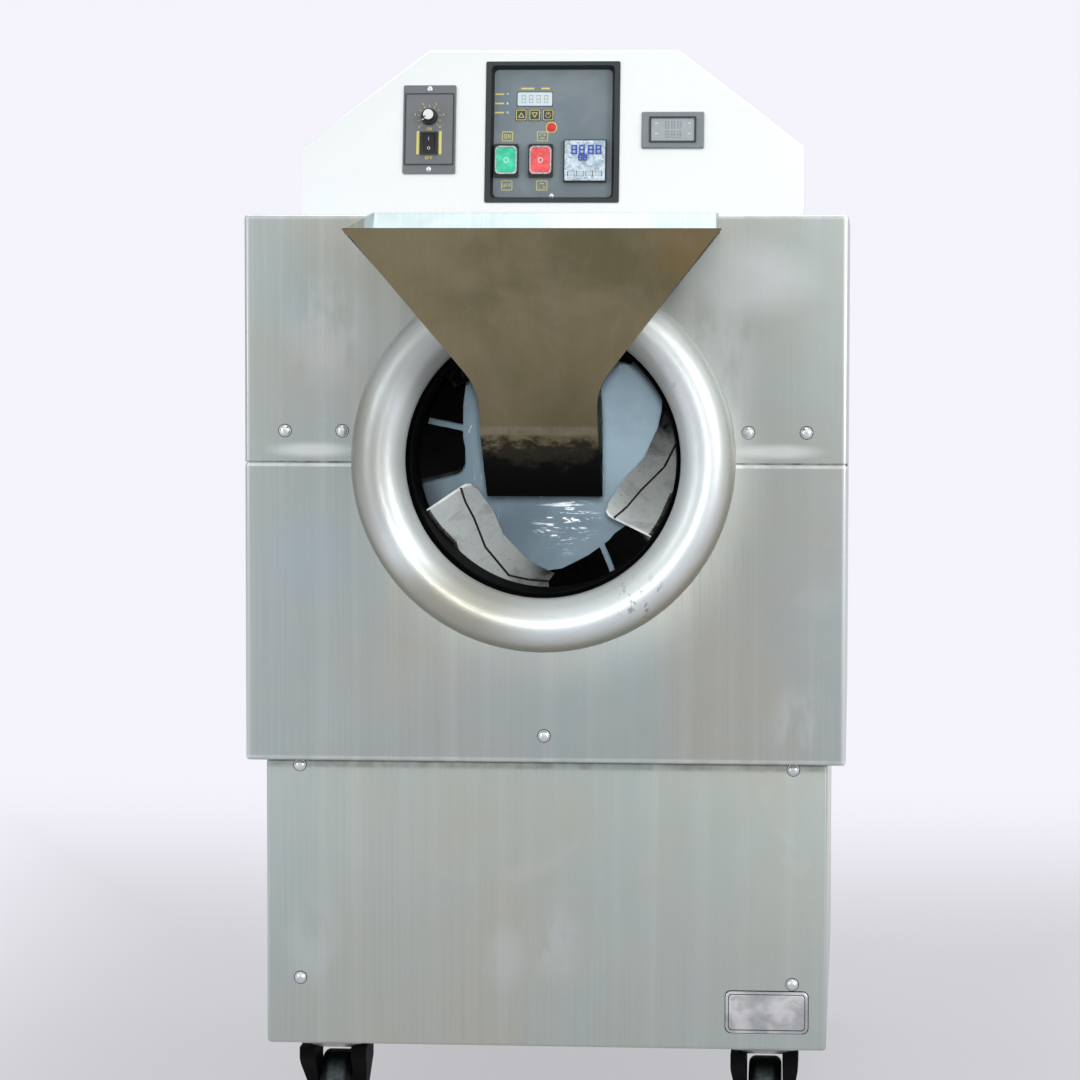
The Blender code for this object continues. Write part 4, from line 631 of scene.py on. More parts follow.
def tray_look():
    """The control tray: a black rim and walls round a grey, softly mottled floor."""
    look = Look("tray_moulding")
    skin = look.noise(1400, detail=2)
    mottle = look.noise(24, detail=4, bend=0.5)
    floor = look.span(look.sunk(), 0.0062, 0.0068)
    grey = look.mix(look.span(mottle, 0.35, 0.7), (0.17, 0.215, 0.245), (0.215, 0.26, 0.285))
    rub = look.span(look.noise(90, (0.4, 1, 1), detail=5, rough=0.7), 0.62, 0.74, 0.0, 0.12)
    grey = look.mix(rub, grey, (0.40, 0.45, 0.48))
    rim = look.span(look.sunk(), -0.0019, -0.0012, 1.0, 0.0)
    dark = look.mix(rim, (0.006, 0.008, 0.009), (0.026, 0.034, 0.037))
    colour = look.mix(floor, dark, grey)
    look.bump(skin, 0.00003)
    return look.set(colour=colour, rough=look.span(mottle, 0.3, 0.7, 0.36, 0.48))


def printed(name, tone, rough=0.45):
    """Ink: a little uneven, so that the plate shows through."""
    look = Look(name)
    wear_and_highlight = look.noise(900, detail=3, rough=0.6)
    colour = look.mix(look.span(wear_and_highlight, 0.5, 0.8, 0.0, 0.35), tone, tuple(c * 0.6 for c in tone))
    look.bump(wear_and_highlight, fine / 10)
    return look.set(colour=colour, rough=look.span(wear_and_highlight, 0.3, 0.7, rough - 0.05, rough + 0.08))


def lens(name, tone, glow):
    """A clear coloured lens with a clear coat, and painted light within it: it emits a little of its own colour.
    """
    look = Look(name)
    depth = look.noise(160, detail=2, bend=0.5)
    colour = look.mix(look.span(depth, 0.35, 0.7), tone,
                      tuple(min(c * 1.5 + 0.02, 1) for c in tone))
    look.bump(look.noise(300, detail=1), 0.00002)
    return look.set(colour=colour, rough=look.span(depth, 0.3, 0.7, 0.12, 0.22), coat=1.0,
                    coat_rough=0.04, glow=tone, glow_strength=glow)


def clear_look(name, tone, share):
    """Clear plastic: mostly see-through, and paler in patches that are scuffs and painted sheen."""
    look = Look(name)
    scuff_and_sheen = look.noise(260, detail=4, rough=0.65, bend=0.8)
    seen = look.span(scuff_and_sheen, 0.35, 0.70, share * 0.7, min(share * 1.5, 1))
    look.bump(scuff_and_sheen, 0.00004)
    return look.set(colour=look.mix(scuff_and_sheen, tone, (0.95, 0.97, 0.98)), alpha=seen,
                    rough=look.span(scuff_and_sheen, 0.3, 0.7, 0.06, 0.14))


def film_look():
    """Crinkled clear film: glossy, full of small folds and half see-through. Its pale colour and the near-white on
    its fine folds are painted sheen.
    """
    look = Look("crinkled_film")
    fold = look.noise(90, (1, 1, 1), detail=3, rough=0.6, bend=2.2)
    fine_folds_and_glints = look.noise(190, (1, 1, 1), detail=3, bend=1.5)
    colour = look.mix(look.span(fold, 0.36, 0.60), (0.46, 0.60, 0.72), (0.68, 0.82, 0.93))
    colour = look.mix(look.span(fine_folds_and_glints, 0.52, 0.62, 0.0, 0.75), colour, (0.95, 0.98, 1.0))
    look.bump(look.sum("ADD", fold, look.sum("MULTIPLY", fine_folds_and_glints, 0.3)), 0.0006)
    seen = look.span(fold, 0.40, 0.60, 0.70, 0.95)
    return look.set(colour=colour, rough=look.span(fold, 0.3, 0.7, 0.18, 0.32), coat=0.6,
                    coat_rough=0.05, alpha=seen)


def cast_metal(name, tone, rough, metal=1.0, grain=260, depth=0.00018):
    """Cast, zinc plated or painted metal: a pebbled skin with paler high spots."""
    look = Look(name)
    skin = look.noise(grain, detail=4, rough=0.6)
    stain = look.noise(24, detail=4, bend=0.7)
    colour = look.mix(look.span(stain, 0.35, 0.7, 0.0, 0.4), tone, tuple(c * 0.62 for c in tone))
    colour = look.mix(look.span(skin, 0.55, 0.8, 0.0, 0.3), colour,
                      tuple(min(c * 1.4 + 0.03, 1) for c in tone))
    look.bump(skin, depth)
    return look.set(colour=colour, rough=look.span(stain, 0.3, 0.7, rough - 0.08, rough + 0.08),
                    metal=metal)


def weld_look():
    """A weld bead: blued and browned steel with a rippled skin."""
    look = Look("weld_bead")
    burnt = look.noise(180, detail=3, bend=0.8)
    colour = look.mix(look.span(burnt, 0.35, 0.7), (0.10, 0.09, 0.085), (0.24, 0.22, 0.20))
    look.bump(look.noise(700, detail=2), 0.0002)
    return look.set(colour=colour, rough=look.span(burnt, 0.3, 0.7, 0.4, 0.6), metal=0.8)


def wool(name, tone):
    """Ceramic fibre: a soft, felted skin."""
    look = Look(name)
    fibre = look.noise(420, (1, 0.25, 1), detail=5, rough=0.75, bend=1.2)
    colour = look.mix(look.span(fibre, 0.3, 0.7), tuple(c * 0.8 for c in tone), tone)
    look.bump(fibre, 0.0012)
    return look.set(colour=colour, rough=look.span(fibre, 0.3, 0.7, 0.9, 1.0))


def wound_cable(name, tone):
    """Cable wound close about the drum's axis: one rib to each turn and a woven sleeve."""
    look = Look(name)
    rib = look.sum("SINE", look.sum("MULTIPLY", look.axis("Y"), full_turn / 0.009))
    weave = look.noise(900, (1, 1, 1), detail=2)
    # Painted shade: the colour darkens in the grooves between the turns.
    colour = look.mix(look.span(rib, -1.0, 0.2), tuple(c * 0.35 for c in tone), tone)
    look.bump(look.sum("ADD", rib, look.sum("MULTIPLY", weave, 0.2)), 0.0012)
    return look.set(colour=colour, rough=look.span(weave, 0.3, 0.7, 0.5, 0.7))


def tyre_look():
    """A caster's tyre: black rubber with a tread rubbed grey by wear, painted darker towards its top as shade."""
    look = Look("tyre_rubber")
    across = look.sum("SUBTRACT", look.sum("ABSOLUTE", look.axis("X")), 0.2195)
    tread = look.span(look.sum("ABSOLUTE", across), 0.006, 0.011, 1.0, 0.0)
    grit = look.noise(260, detail=5, rough=0.7)
    wear_and_highlight = look.sum("MULTIPLY", tread, look.span(grit, 0.3, 0.65, 0.45, 1.0))
    shade = look.span(look.axis("Z"), 0.070, 0.081, 1.0, 0.15)
    colour = look.mix(look.sum("MULTIPLY", wear_and_highlight, shade), (0.008, 0.008, 0.009),
                      (0.11, 0.13, 0.135))
    look.bump(grit, 0.0002)
    look.shader.inputs["Specular IOR Level"].default_value = 0.15
    return look.set(colour=colour, rough=look.span(grit, 0.3, 0.7, 0.5, 0.7))


rub_marks = (((-0.040, cabinet_y, 0.198), (0.030, 0.03, 0.045)),
             ((0.012, cabinet_y, 0.210), (0.035, 0.03, 0.050)),
             ((-0.235, cabinet_y, 0.210), (0.040, 0.03, 0.070)),
             ((-0.215, front_y, 0.830), (0.055, 0.03, 0.070)),
             ((0.165, front_y, 0.800), (0.060, 0.03, 0.100)),
             ((0.255, front_y, 0.435), (0.040, 0.03, 0.060)))
# A near-white tone for painted highlights and painted reflections.
highlight_tone = (0.95, 0.97, 0.97)
# Painted reflections on the casing's front: pale patches below the cover screws, and warm, bluish and pale patches
# higher up.
reflection_patches = (((-0.232, front_y, seam_z + 0.012), (0.055, 0.02, 0.010), highlight_tone, 0.5),
                ((0.232, front_y, seam_z + 0.012), (0.055, 0.02, 0.010), highlight_tone, 0.5),
                ((-0.225, front_y, 0.790), (0.075, 0.03, 0.070), (0.50, 0.46, 0.42), 0.35),
                ((-0.235, front_y, 0.600), (0.060, 0.03, 0.060), (0.42, 0.50, 0.60), 0.35),
                ((0.200, front_y, 0.880), (0.090, 0.03, 0.050), (0.72, 0.76, 0.77), 0.45))
# Painted highlights along the cover's top edge, under the seam, along the foot and up both sides.
edge_highlights = (("Z", body_top - 0.001, 0.004, (0.82, 0.86, 0.86), 0.45),
              ("Z", seam_z - 0.0030, 0.0022, highlight_tone, 0.7),
              ("Z", body_bottom + 0.0025, 0.0035, highlight_tone, 0.4),
              ("X", 0.2975, 0.0035, highlight_tone, 0.5),
              ("X", -0.2975, 0.0035, (0.80, 0.83, 0.83), 0.4))
# Painted shade in the seam between cover and shell, and on the cabinet under the body's lower edge.
painted_seam_shade = (("Z", seam_z, 0.0014, 0.95), ("Z", body_bottom - 0.004, 0.007, 0.5))

# The casing: painted lighter at the foot and darker at the top, with painted reflections, painted edge highlights
# and painted seam shade.
casing = sheet_steel("brushed_casing", (0.48, 0.525, 0.51), (0.50, 0.505, 0.47),
                     (0.45, 0.51, 0.52), 0.34, rubs=rub_marks, pale=reflection_patches,
                     edges=edge_highlights, seam_shade=painted_seam_shade,
                     painted_light_by_height=((1.16, 1.15, 1.07), (0.88, 0.885, 0.865)))
bright = sheet_steel("bright_console", (0.95, 0.98, 0.97), (0.96, 0.98, 0.97),
                     (0.92, 0.97, 0.98), 0.38, cloud_scale=3.0, scuff_tone=(0.97, 0.99, 0.99),
                     brushing=0.3)
badge_steel = sheet_steel("badge_steel", (0.42, 0.42, 0.43), (0.86, 0.86, 0.86),
                          (0.50, 0.51, 0.52), 0.24, stretch=brush_across, cloud_scale=24.0,
                          scuff_tone=(0.85, 0.85, 0.86))
# Painted reflections on the mouth ring: olive low down and at the left, paler at the upper left; the flecked dark
# patch at the lower right is a stain.
ring_reflections_and_stains = (((-0.10, ring_low.y, axis_z - 0.150), (0.12, 0.06, 0.07), (0.40, 0.40, 0.34), 1.0),
               ((-0.175, ring_low.y + 0.03, axis_z), (0.05, 0.06, 0.16), (0.36, 0.36, 0.32), 1.0),
               ((-0.135, ring_low.y, axis_z + 0.110), (0.07, 0.06, 0.07), (0.46, 0.49, 0.48), 1.0),
               ((0.100, ring_low.y, axis_z - 0.135), (0.040, 0.05, 0.030), (0.25, 0.24, 0.23), 0.8))
polished = spun_steel("polished_ring", (0.68, 0.73, 0.73), (0.58, 0.62, 0.61), 0.40, axis_centre,
                      reflections_and_stains=ring_reflections_and_stains)
screw_steel = cast_metal("bright_screw", (0.84, 0.85, 0.86), 0.16, grain=900, depth=0.00002)
machined = spun_steel("machined_steel", (0.56, 0.56, 0.57), (0.42, 0.42, 0.42), 0.3, axis_centre)
weld = weld_look()
film = film_look()
drum_wall = drum_wall_look()
clear_rim = clear_look("clear_rim", (0.80, 0.84, 0.86), 0.5)
black_tone = (0.014, 0.015, 0.017)
shadow_black = moulded("seam_shadow", (0.02, 0.014, 0.012), 0.7)
ink_yellow = printed("yellow_ink", (0.78, 0.70, 0.20))
ink_pale = printed("pale_ink", (0.80, 0.82, 0.84))
ink_grey = printed("grey_ink", (0.30, 0.33, 0.35))
ink_dark = printed("dark_ink", (0.035, 0.042, 0.046))
ink_blue = printed("blue_digits", (0.05, 0.13, 0.58))
ink_soft = printed("soft_ink", (0.42, 0.45, 0.47))
lcd = moulded("lcd_glass", (0.66, 0.79, 0.82), 0.15, coat=0.8)
meter_glass = moulded("meter_glass", (0.36, 0.40, 0.42), 0.15, coat=0.8)
white_cap = moulded("white_cap", (0.80, 0.81, 0.80), 0.35)
red_dab = moulded("red_dab", (0.62, 0.015, 0.020), 0.25, coat=0.6)
hub_grey = moulded("hub_moulding", (0.050, 0.052, 0.055), 0.45)


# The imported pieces: smooth round faces and a material of their own

def smooth_group():
    """A modifier that joins a node's corners and shades its round faces smooth."""
    group = bpy.data.node_groups.new("smooth_shading", "GeometryNodeTree")
    group.interface.new_socket("Geometry", in_out="INPUT", socket_type="NodeSocketGeometry")
    group.interface.new_socket("Geometry", in_out="OUTPUT", socket_type="NodeSocketGeometry")
    source = group.nodes.new("NodeGroupInput")
    plain = group.nodes.new("GeometryNodeRemoveAttribute")
    plain.inputs["Name"].default_value = "custom_normal"
    merge = group.nodes.new("GeometryNodeMergeByDistance")
    merge.inputs["Distance"].default_value = fine / 10
    faces = group.nodes.new("GeometryNodeSetShadeSmooth")
    edges = group.nodes.new("GeometryNodeSetShadeSmooth")
    edges.domain = "EDGE"
    edges.inputs["Shade Smooth"].default_value = False
    angle = group.nodes.new("GeometryNodeInputMeshEdgeAngle")
    sharp = group.nodes.new("FunctionNodeCompare")
    sharp.operation = "GREATER_THAN"
    sharp.inputs[1].default_value = smooth_limit
    target = group.nodes.new("NodeGroupOutput")
    chain = (source, plain, merge, faces, edges, target)
    for one, two in zip(chain, chain[1:]):
        group.links.new(one.outputs[0], two.inputs[0])
    group.links.new(angle.outputs["Unsigned Angle"], sharp.inputs[0])
    group.links.new(sharp.outputs[0], edges.inputs["Selection"])
    return group


def slot_looks():
    """The material of each of the record's slots."""
    return {
        "casing_steel": casing, "bright_steel": bright, "hopper_steel": funnel_look(),
        "polished_steel": polished, "machined_steel": machined,
        "drum_steel": flight_look("flight_steel", (0.74, 0.79, 0.78), (0.006, 0.006, 0.007),
                                  front_y + 0.09, front_y + 0.20, top_shade=0.8),
        "bearing_iron": cast_metal("bearing_paint", (0.10, 0.16, 0.13), 0.5, metal=0.0),
        "gearbox_aluminium": cast_metal("gearbox_casting", (0.60, 0.61, 0.62), 0.42),
        "motor_aluminium": cast_metal("motor_casting", (0.20, 0.21, 0.22), 0.45, metal=0.4),
        "insulation_wool": wool("fibre_wool", (0.80, 0.78, 0.70)),
        "coil_cable": wound_cable("coil_winding", (0.55, 0.30, 0.15)),
        "power_unit_case": moulded("power_unit_case", (0.10, 0.11, 0.12), 0.5),
        "frame_paint": cast_metal("frame_paint", (0.20, 0.21, 0.22), 0.55, metal=0.0, grain=500),
        "tray_plastic": tray_look(),
        "display_window": lcd,
        "key_plastic": moulded("key_moulding", (0.050, 0.060, 0.070), 0.40),
        "switch_plastic": moulded("switch_moulding", black_tone, 0.30),
        "green_lens": lens("green_lens", (0.004, 0.44, 0.25), 0.25),
        "red_lens": lens("red_lens", (0.60, 0.045, 0.050), 0.25),
        "controller_key": moulded("controller_key", (0.55, 0.62, 0.68), 0.35),
        "speed_plate": moulded("speed_plate", (0.165, 0.178, 0.188), 0.45, speck=0.08),
        "knob_plastic": moulded("knob_moulding", black_tone, 0.28),
        "meter_bezel": moulded("meter_moulding", (0.21, 0.245, 0.255), 0.40),
        "gland_plastic": moulded("gland_nylon", black_tone, 0.45),
        "zinc_plate": cast_metal("zinc_plate", (0.42, 0.41, 0.38), 0.46, grain=160),
        "fork_plastic": moulded("fork_moulding", (0.003, 0.003, 0.0035), 0.70, speck=0.005,
                                shine=0.08),
        "wheel_tyre": tyre_look(),
    }


def dress_nodes(looks):
    """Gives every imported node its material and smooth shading."""
    group = smooth_group()
    for row in frame["record"]["subparts"]:
        node = frame["nodes"][row["node"]]
        node.data.materials.clear()
        node.data.materials.append(looks[row["material_slot"]])
        modifier = node.modifiers.new("smooth_shading", "NODES")
        modifier.node_group = group
    # The rear flights are painted near black: painted shade, with smoke blackening.
    rear_flight_shade = flight_look("rear_flight_steel", (0.020, 0.020, 0.020), (0.003, 0.003, 0.003),
                             front_y + 0.20, front_y + 0.40)
    for i in range(1, 4):
        frame["nodes"][f"rear_flight_{i}"].data.materials[0] = rear_flight_shade


looks = slot_looks()
dress_nodes(looks)


# Camera, stage and light

def make_camera():
    """The photograph's view: a long lens a little right of the middle, looking slightly down."""
    camera = bpy.data.cameras.new("camera")
    camera.lens = 134.87
    camera.sensor_width = 36
    camera.clip_end = 60
    holder = bpy.data.objects.new("camera", camera)
    place = Matrix.Translation((0.307, -4.317, 0.888))
    turn = (Matrix.Rotation(math.radians(4.45), 4, "Z")
            @ Matrix.Rotation(math.radians(90 - 3.81), 4, "X")
            @ Matrix.Rotation(math.radians(0.08), 4, "Z"))
    holder.matrix_world = place @ turn
    bpy.context.scene.collection.objects.link(holder)
    bpy.context.scene.camera = holder


def make_stage():
    """A pale floor that curves up into a white wall far behind the machine, with a grey shadow painted on the
    floor round the machine.
    """
    wall_y = 2.9
    bend = 0.35
    half = 9.0
    profile = [(-9.0, 0.0)] + [(wall_y - bend + bend * math.sin(t), bend - bend * math.cos(t))
                               for t in (math.pi / 2 * i / 12 for i in range(13))] + [(wall_y, 7.0)]
    bm = bmesh.new()
    sides = [[bm.verts.new((x, y, z)) for y, z in profile] for x in (-half, half)]
    for i in range(len(profile) - 1):
        bm.faces.new((sides[0][i], sides[1][i], sides[1][i + 1], sides[0][i + 1]))
    mesh = bpy.data.meshes.new("stage")
    bm.to_mesh(mesh)
    bm.free()
    mesh.shade_smooth()
    look = Look("stage_paper")
    # Painted shadow: the floor is greyer near the machine, in its lit colour and in its emission, and white
    # further off.
    painted_shadow_falloff = look.sum("MAXIMUM", look.span(look.axis("Y"), 0.7, 2.7),
                    look.span(look.sum("ABSOLUTE", look.axis("X")), 0.45, 1.30))
    paper = look.noise(3.0, detail=3)
    near = look.mix(paper, (0.49, 0.485, 0.52), (0.53, 0.525, 0.56))
    colour = look.mix(painted_shadow_falloff, near, (0.88, 0.87, 0.92))
    look.set(colour=colour, rough=0.9)
    look.shader.inputs["Specular IOR Level"].default_value = 0.0
    paths = look.node("ShaderNodeLightPath")
    seen = look.sum("MAXIMUM", paths.outputs["Is Camera Ray"],
                    look.sum("MAXIMUM", paths.outputs["Is Glossy Ray"],
                             paths.outputs["Is Transmission Ray"]))
    white = look.node("ShaderNodeEmission")
    look.wire(look.mix(painted_shadow_falloff, (0.68, 0.675, 0.71), (0.913, 0.896, 0.973)), white.inputs["Color"])
    far = look.sum("MULTIPLY", look.span(painted_shadow_falloff, 0, 1, 0.70, 0.97), seen)
    mixed = look.node("ShaderNodeMixShader")
    look.wire(far, mixed.inputs[0])
    look.wire(look.shader.outputs[0], mixed.inputs[1])
    look.wire(white.outputs[0], mixed.inputs[2])
    look.wire(mixed.outputs[0], look.tree.nodes["Material Output"].inputs["Surface"])
    mesh.materials.append(look.material)
    floor = bpy.data.objects.new("stage", mesh)
    bpy.context.scene.collection.objects.link(floor)


def make_world():
    """A plain studio sky: bright above, greyer at the horizon and warm below."""
    world = bpy.data.worlds.new("studio")
    bpy.context.scene.world = world
    world.use_nodes = True
    tree = world.node_tree
    place = tree.nodes.new("ShaderNodeTexCoord")
    split = tree.nodes.new("ShaderNodeSeparateXYZ")
    ramp = tree.nodes.new("ShaderNodeValToRGB")
    stops = ((0.0, (0.30, 0.27, 0.23)), (0.40, (0.38, 0.34, 0.29)), (0.48, (0.60, 0.61, 0.60)),
             (0.55, (0.74, 0.78, 0.80)), (0.62, (1.0, 1.0, 1.0)), (1.0, (0.85, 0.87, 0.89)))
    ramp.color_ramp.elements[0].position = stops[0][0]
    ramp.color_ramp.elements[0].color = (*stops[0][1], 1)
    ramp.color_ramp.elements[1].position = stops[-1][0]
    ramp.color_ramp.elements[1].color = (*stops[-1][1], 1)
    for position, colour in stops[1:-1]:
        ramp.color_ramp.elements.new(position).color = (*colour, 1)
    share = tree.nodes.new("ShaderNodeMapRange")
    for socket, number in zip(share.inputs[1:5], (-1.0, 1.0, 0.0, 1.0)):
        socket.default_value = number
    side = tree.nodes.new("ShaderNodeMapRange")
    for socket, number in zip(side.inputs[1:5], (-0.9, 0.3, 0.78, 1.12)):
        socket.default_value = number
    links = tree.links
    links.new(place.outputs["Generated"], split.inputs[0])
    links.new(split.outputs["Z"], share.inputs[0])
    links.new(share.outputs[0], ramp.inputs[0])
    links.new(ramp.outputs[0], tree.nodes["Background"].inputs["Color"])
    links.new(split.outputs["X"], side.inputs[0])
    links.new(side.outputs[0], tree.nodes["Background"].inputs["Strength"])


def hang(name, lamp, place, target):
    """Puts a lamp at a place, facing a point."""
    holder = bpy.data.objects.new(name, lamp)
    holder.location = place
    aim = Vector(target) - Vector(place)
    holder.rotation_euler = aim.to_track_quat("-Z", "Y").to_euler()
    bpy.context.scene.collection.objects.link(holder)


def make_lamp(name, place, target, size, power, tint=(1, 1, 1)):
    """A soft rectangular lamp that faces a point."""
    lamp = bpy.data.lights.new(name, "AREA")
    lamp.shape = "RECTANGLE"
    lamp.size, lamp.size_y = size
    lamp.energy = power
    lamp.color = tint
    hang(name, lamp, place, target)


def make_lamps():
    """A window on the right, a tall softbox on the left, a wide lamp overhead, and a narrow beam
    into the drum's mouth."""
    middle = (0, 0, 0.6)
    make_lamp("window_lamp", (2.3, -2.6, 1.5), middle, (0.9, 1.9), 26)
    make_lamp("left_softbox", (-2.4, -2.6, 1.3), middle, (1.0, 1.8), 10, (0.97, 0.99, 1))
    make_lamp("top_lamp", (0.1, 0.1, 3.3), middle, (2.4, 2.4), 30)
    beam = bpy.data.lights.new("mouth_beam", "SPOT")
    beam.energy = 180
    beam.spot_size = math.radians(5.6)
    beam.spot_blend = 0.7
    beam.shadow_soft_size = 0.05
    hang("mouth_beam", beam, (0.30, -4.2, 0.92), (0.0, -0.20, axis_z - 0.05))


make_camera()
make_stage()
make_world()
make_lamps()


# Casing: screws and the bare plate

def screw(radius, height):
    """A domed screw head with a narrow flange, facing -Y at the origin."""
    rim = radius * 0.14
    dome = [(radius * 0.90 * math.cos(t), -rim - (height - rim) * math.sin(t))
            for t in (math.pi / 2 * i / 9 for i in range(9))]
    return turned([(0, 0), (radius, 0), (radius, -rim)] + dome + [(0, -height)], 36,
                  closed=False)


def set_of_screws(name, places, radius, height, body, matrix=None):
    """Alike screws as one piece, and a dark ring of painted shadow under their heads as another."""
    heads = []
    rings = []
    for x, y, z in places:
        heads.append(shifted(screw(radius, height), x, y, z))
        shadow_ring = turned([(radius * 0.9, 0), (radius * 1.13, 0), (radius * 1.07, -lift * 1.5),
                        (radius * 0.9, -lift * 1.5)], 36)
        rings.append(shifted(shadow_ring, x, y, z))
    finished(name, joined(*heads), screw_steel, body, matrix)
    finished(name + "_grime", joined(*rings), shadow_black, body, matrix)


def make_front_screws():
    """The domed screws of the cover, the shell and the cabinet's front panel."""
    radius = 0.0060
    height = 0.0040
    row = seam_z + 0.031
    set_of_screws("cover_screws", [(x, front_y, row) for x in (-0.2595, -0.202, 0.202, 0.2595)],
                  radius, height, "housing")
    set_of_screws("shell_screw", [(0, front_y, body_bottom + 0.027)], radius, height, "housing")
    rows = (cabinet_bottom + 0.067, body_bottom - 0.0068)
    set_of_screws("cabinet_screws", [(x, cabinet_y, z) for x in (-0.248, 0.248)
                                     for z in rows], radius, height, "housing")


def make_rear_screws():
    """The smaller screws round the rear panels."""
    turn = Matrix.Rotation(math.pi, 4, "Z")
    inset = 0.014
    louvre = 0.006
    places = []
    for low, high in ((rear_low, rear_high), (cabinet_rear_low, cabinet_rear_high)):
        flat = high.y - louvre
        for x in (-(high.x - inset), 0, high.x - inset):
            for z in (low.z + inset, high.z - inset):
                places.append((-x, -flat, z))
    set_of_screws("rear_screws", places, 0.0042, 0.0024, "housing", turn)


def make_badge():
    """The bare nameplate: a bevelled rim round a brushed field, with a dark line of painted shade inside the rim
    and a dark ring of painted shade round the plate's edge.
    """
    middle = (0.2226, cabinet_bottom + 0.0386)
    width, height = 0.0824, 0.042
    rim = 0.0026
    outer = round_box(width, height, 0.0055, 8)
    back = plate(outer, cabinet_y - 0.0018, cabinet_y - fine, 0.0010, 3)
    # Painted shade: a dark line inside the rim and a dark ring round the plate's edge.
    line = band(round_box(width - 2 * rim, height - 2 * rim, 0.0040, 8),
                round_box(width - 2 * rim - 0.0016, height - 2 * rim - 0.0016, 0.0034, 8),
                cabinet_y - 0.0020, cabinet_y - 0.0017)
    under = band(round_box(width + 0.0016, height + 0.0016, 0.0062, 8),
                 round_box(width - 0.0008, height - 0.0008, 0.0052, 8),
                 cabinet_y - 0.0003, cabinet_y - fine)
    finished("badge_plate", shifted(back, middle[0], 0, middle[1]), badge_steel, "housing")
    finished("badge_shade_lines", shifted(joined(line, under), middle[0], 0, middle[1]), shadow_black,
             "housing")


make_front_screws()
make_rear_screws()
make_badge()


# Mouth ring, drum and flights

def make_ring():
    """The spun mouth ring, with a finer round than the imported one."""
    outer = (ring_high.x - ring_low.x) / 2
    sheet = 0.002
    inner = min(math.hypot(v.co.x, v.co.z - axis_z)
                for v in frame["nodes"]["mouth_ring"].data.vertices)
    lip = max(v.co.y for v in frame["nodes"]["mouth_ring"].data.vertices
              if math.hypot(v.co.x, v.co.z - axis_z) < inner + sheet / 2)
    tube = (outer - inner) / 2
    middle = (outer - tube, ring_low.y + tube)
    profile = [(outer, ring_high.y)]
    profile += arc(middle, tube, 0, -math.pi, 40) + [(inner, lip)]
    profile += [(inner + sheet, lip)] + arc(middle, tube - sheet, -math.pi, 0, 24)
    profile += [(outer - sheet, ring_high.y)]
    ring = finished("mouth_ring_spun", turned(profile, 180), polished, "housing",
                    Matrix.Translation((0, 0, axis_z)))
    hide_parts("mouth_ring")


def make_drum():
    """The drum with its roller track, cone, barrel and hub, with a finer round than the packed
    one."""
    wall = 0.002
    edge = 0.0007
    collar = 0.1335
    track = 0.1455
    barrel = drum_high.x
    hub = 0.036
    bore = 0.0178
    track_start = front_y + 0.012
    track_end = track_start + 0.024
    cone_start = front_y + 0.060
    cone_end = cone_start + 0.065
    rear = drum_high.y - hub_length
    profile = [(collar - edge, drum_low.y), (collar, drum_low.y + edge), (collar, track_start),
               (track - edge, track_start), (track, track_start + edge),
               (track, track_end - edge), (track - edge, track_end), (collar, track_end),
               (collar, cone_start), (barrel, cone_end), (barrel, rear - edge),
               (barrel - edge, rear), (hub, rear), (hub, drum_high.y - edge),
               (hub - edge, drum_high.y), (bore, drum_high.y), (bore, disc_y),
               (barrel - wall - 4 * edge, disc_y), (barrel - wall, disc_y - 4 * edge),
               (barrel - wall, cone_end), (collar - wall, cone_start),
               (collar - wall, drum_low.y + edge), (collar - wall + edge, drum_low.y)]
    drum = finished("drum_spun", turned(profile, 160), drum_wall, "rotor",
                    Matrix.Translation((0, 0, axis_z)))
    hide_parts("drum")


def flight_lines(node):
    """The wall, fold and lip lines of a flight from front to back, on the side that faces the
    drum's axis."""
    bm = welded(node)
    rows = {}
    for v in bm.verts:
        rows.setdefault(round(v.co.y, 4), []).append(v.co.copy())
    bm.free()
    lines = [[], [], []]
    for y in sorted(rows):
        ring = sorted(rows[y], key=lambda p: -math.hypot(p.x, p.z - axis_z))
        if len(ring) != 6:
            continue
        for line, pair in zip(lines, (ring[0:2], ring[2:4], ring[4:6])):
            line.append((pair[0] + pair[1]) / 2)
    return lines


def make_flight_welds():
    """The weld beads that join each front flight to the drum's wall."""
    beads = []
    for i in range(1, 4):
        wall_line = flight_lines(f"front_flight_{i}")[0]
        moved = []
        for point in wall_line:
            inward = Vector((-point.x, 0, axis_z - point.z)).normalized()
            moved.append(point + inward * 0.0014)
        if len(moved) > 1:
            beads.append(bead(spread(moved, 0.0016), 0.0021, 7, 0.16))
    if beads:
        finished("flight_welds", joined(*beads), weld, "rotor")


def make_flight_folds():
    """A dark bead along the fold of each front flight: painted shade in the crease."""
    lines = []
    for i in range(1, 4):
        fold_line = flight_lines(f"front_flight_{i}")[1]
        if len(fold_line) > 1:
            lines.append(bead(spread(fold_line, 0.0030), 0.0016, 8))
    if lines:
        finished("flight_fold_shade", joined(*lines), shadow_black, "rotor")


make_ring()
make_drum()
make_flight_welds()
make_flight_folds()


# Console

tray_y = on_face("display_window")[0].y + 0.0004
line_width = 0.00065


def on_console(name, bm, look, body, x=0, z=0, y=0):
    """A piece on the console's face, from a mesh about the place's own origin."""
    return finished(name, shifted(bm, x, y, z), look, body, face_frame)


def icon_triangle(size, y, up):
    """A printed triangle outline that points up or down."""
    sign = 1 if up else -1
    points = [(-size / 2, -sign * size * 0.42), (size / 2, -sign * size * 0.42),
              (0, sign * size * 0.42), (-size / 2, -sign * size * 0.42)]
    return stroke(points, line_width, y)


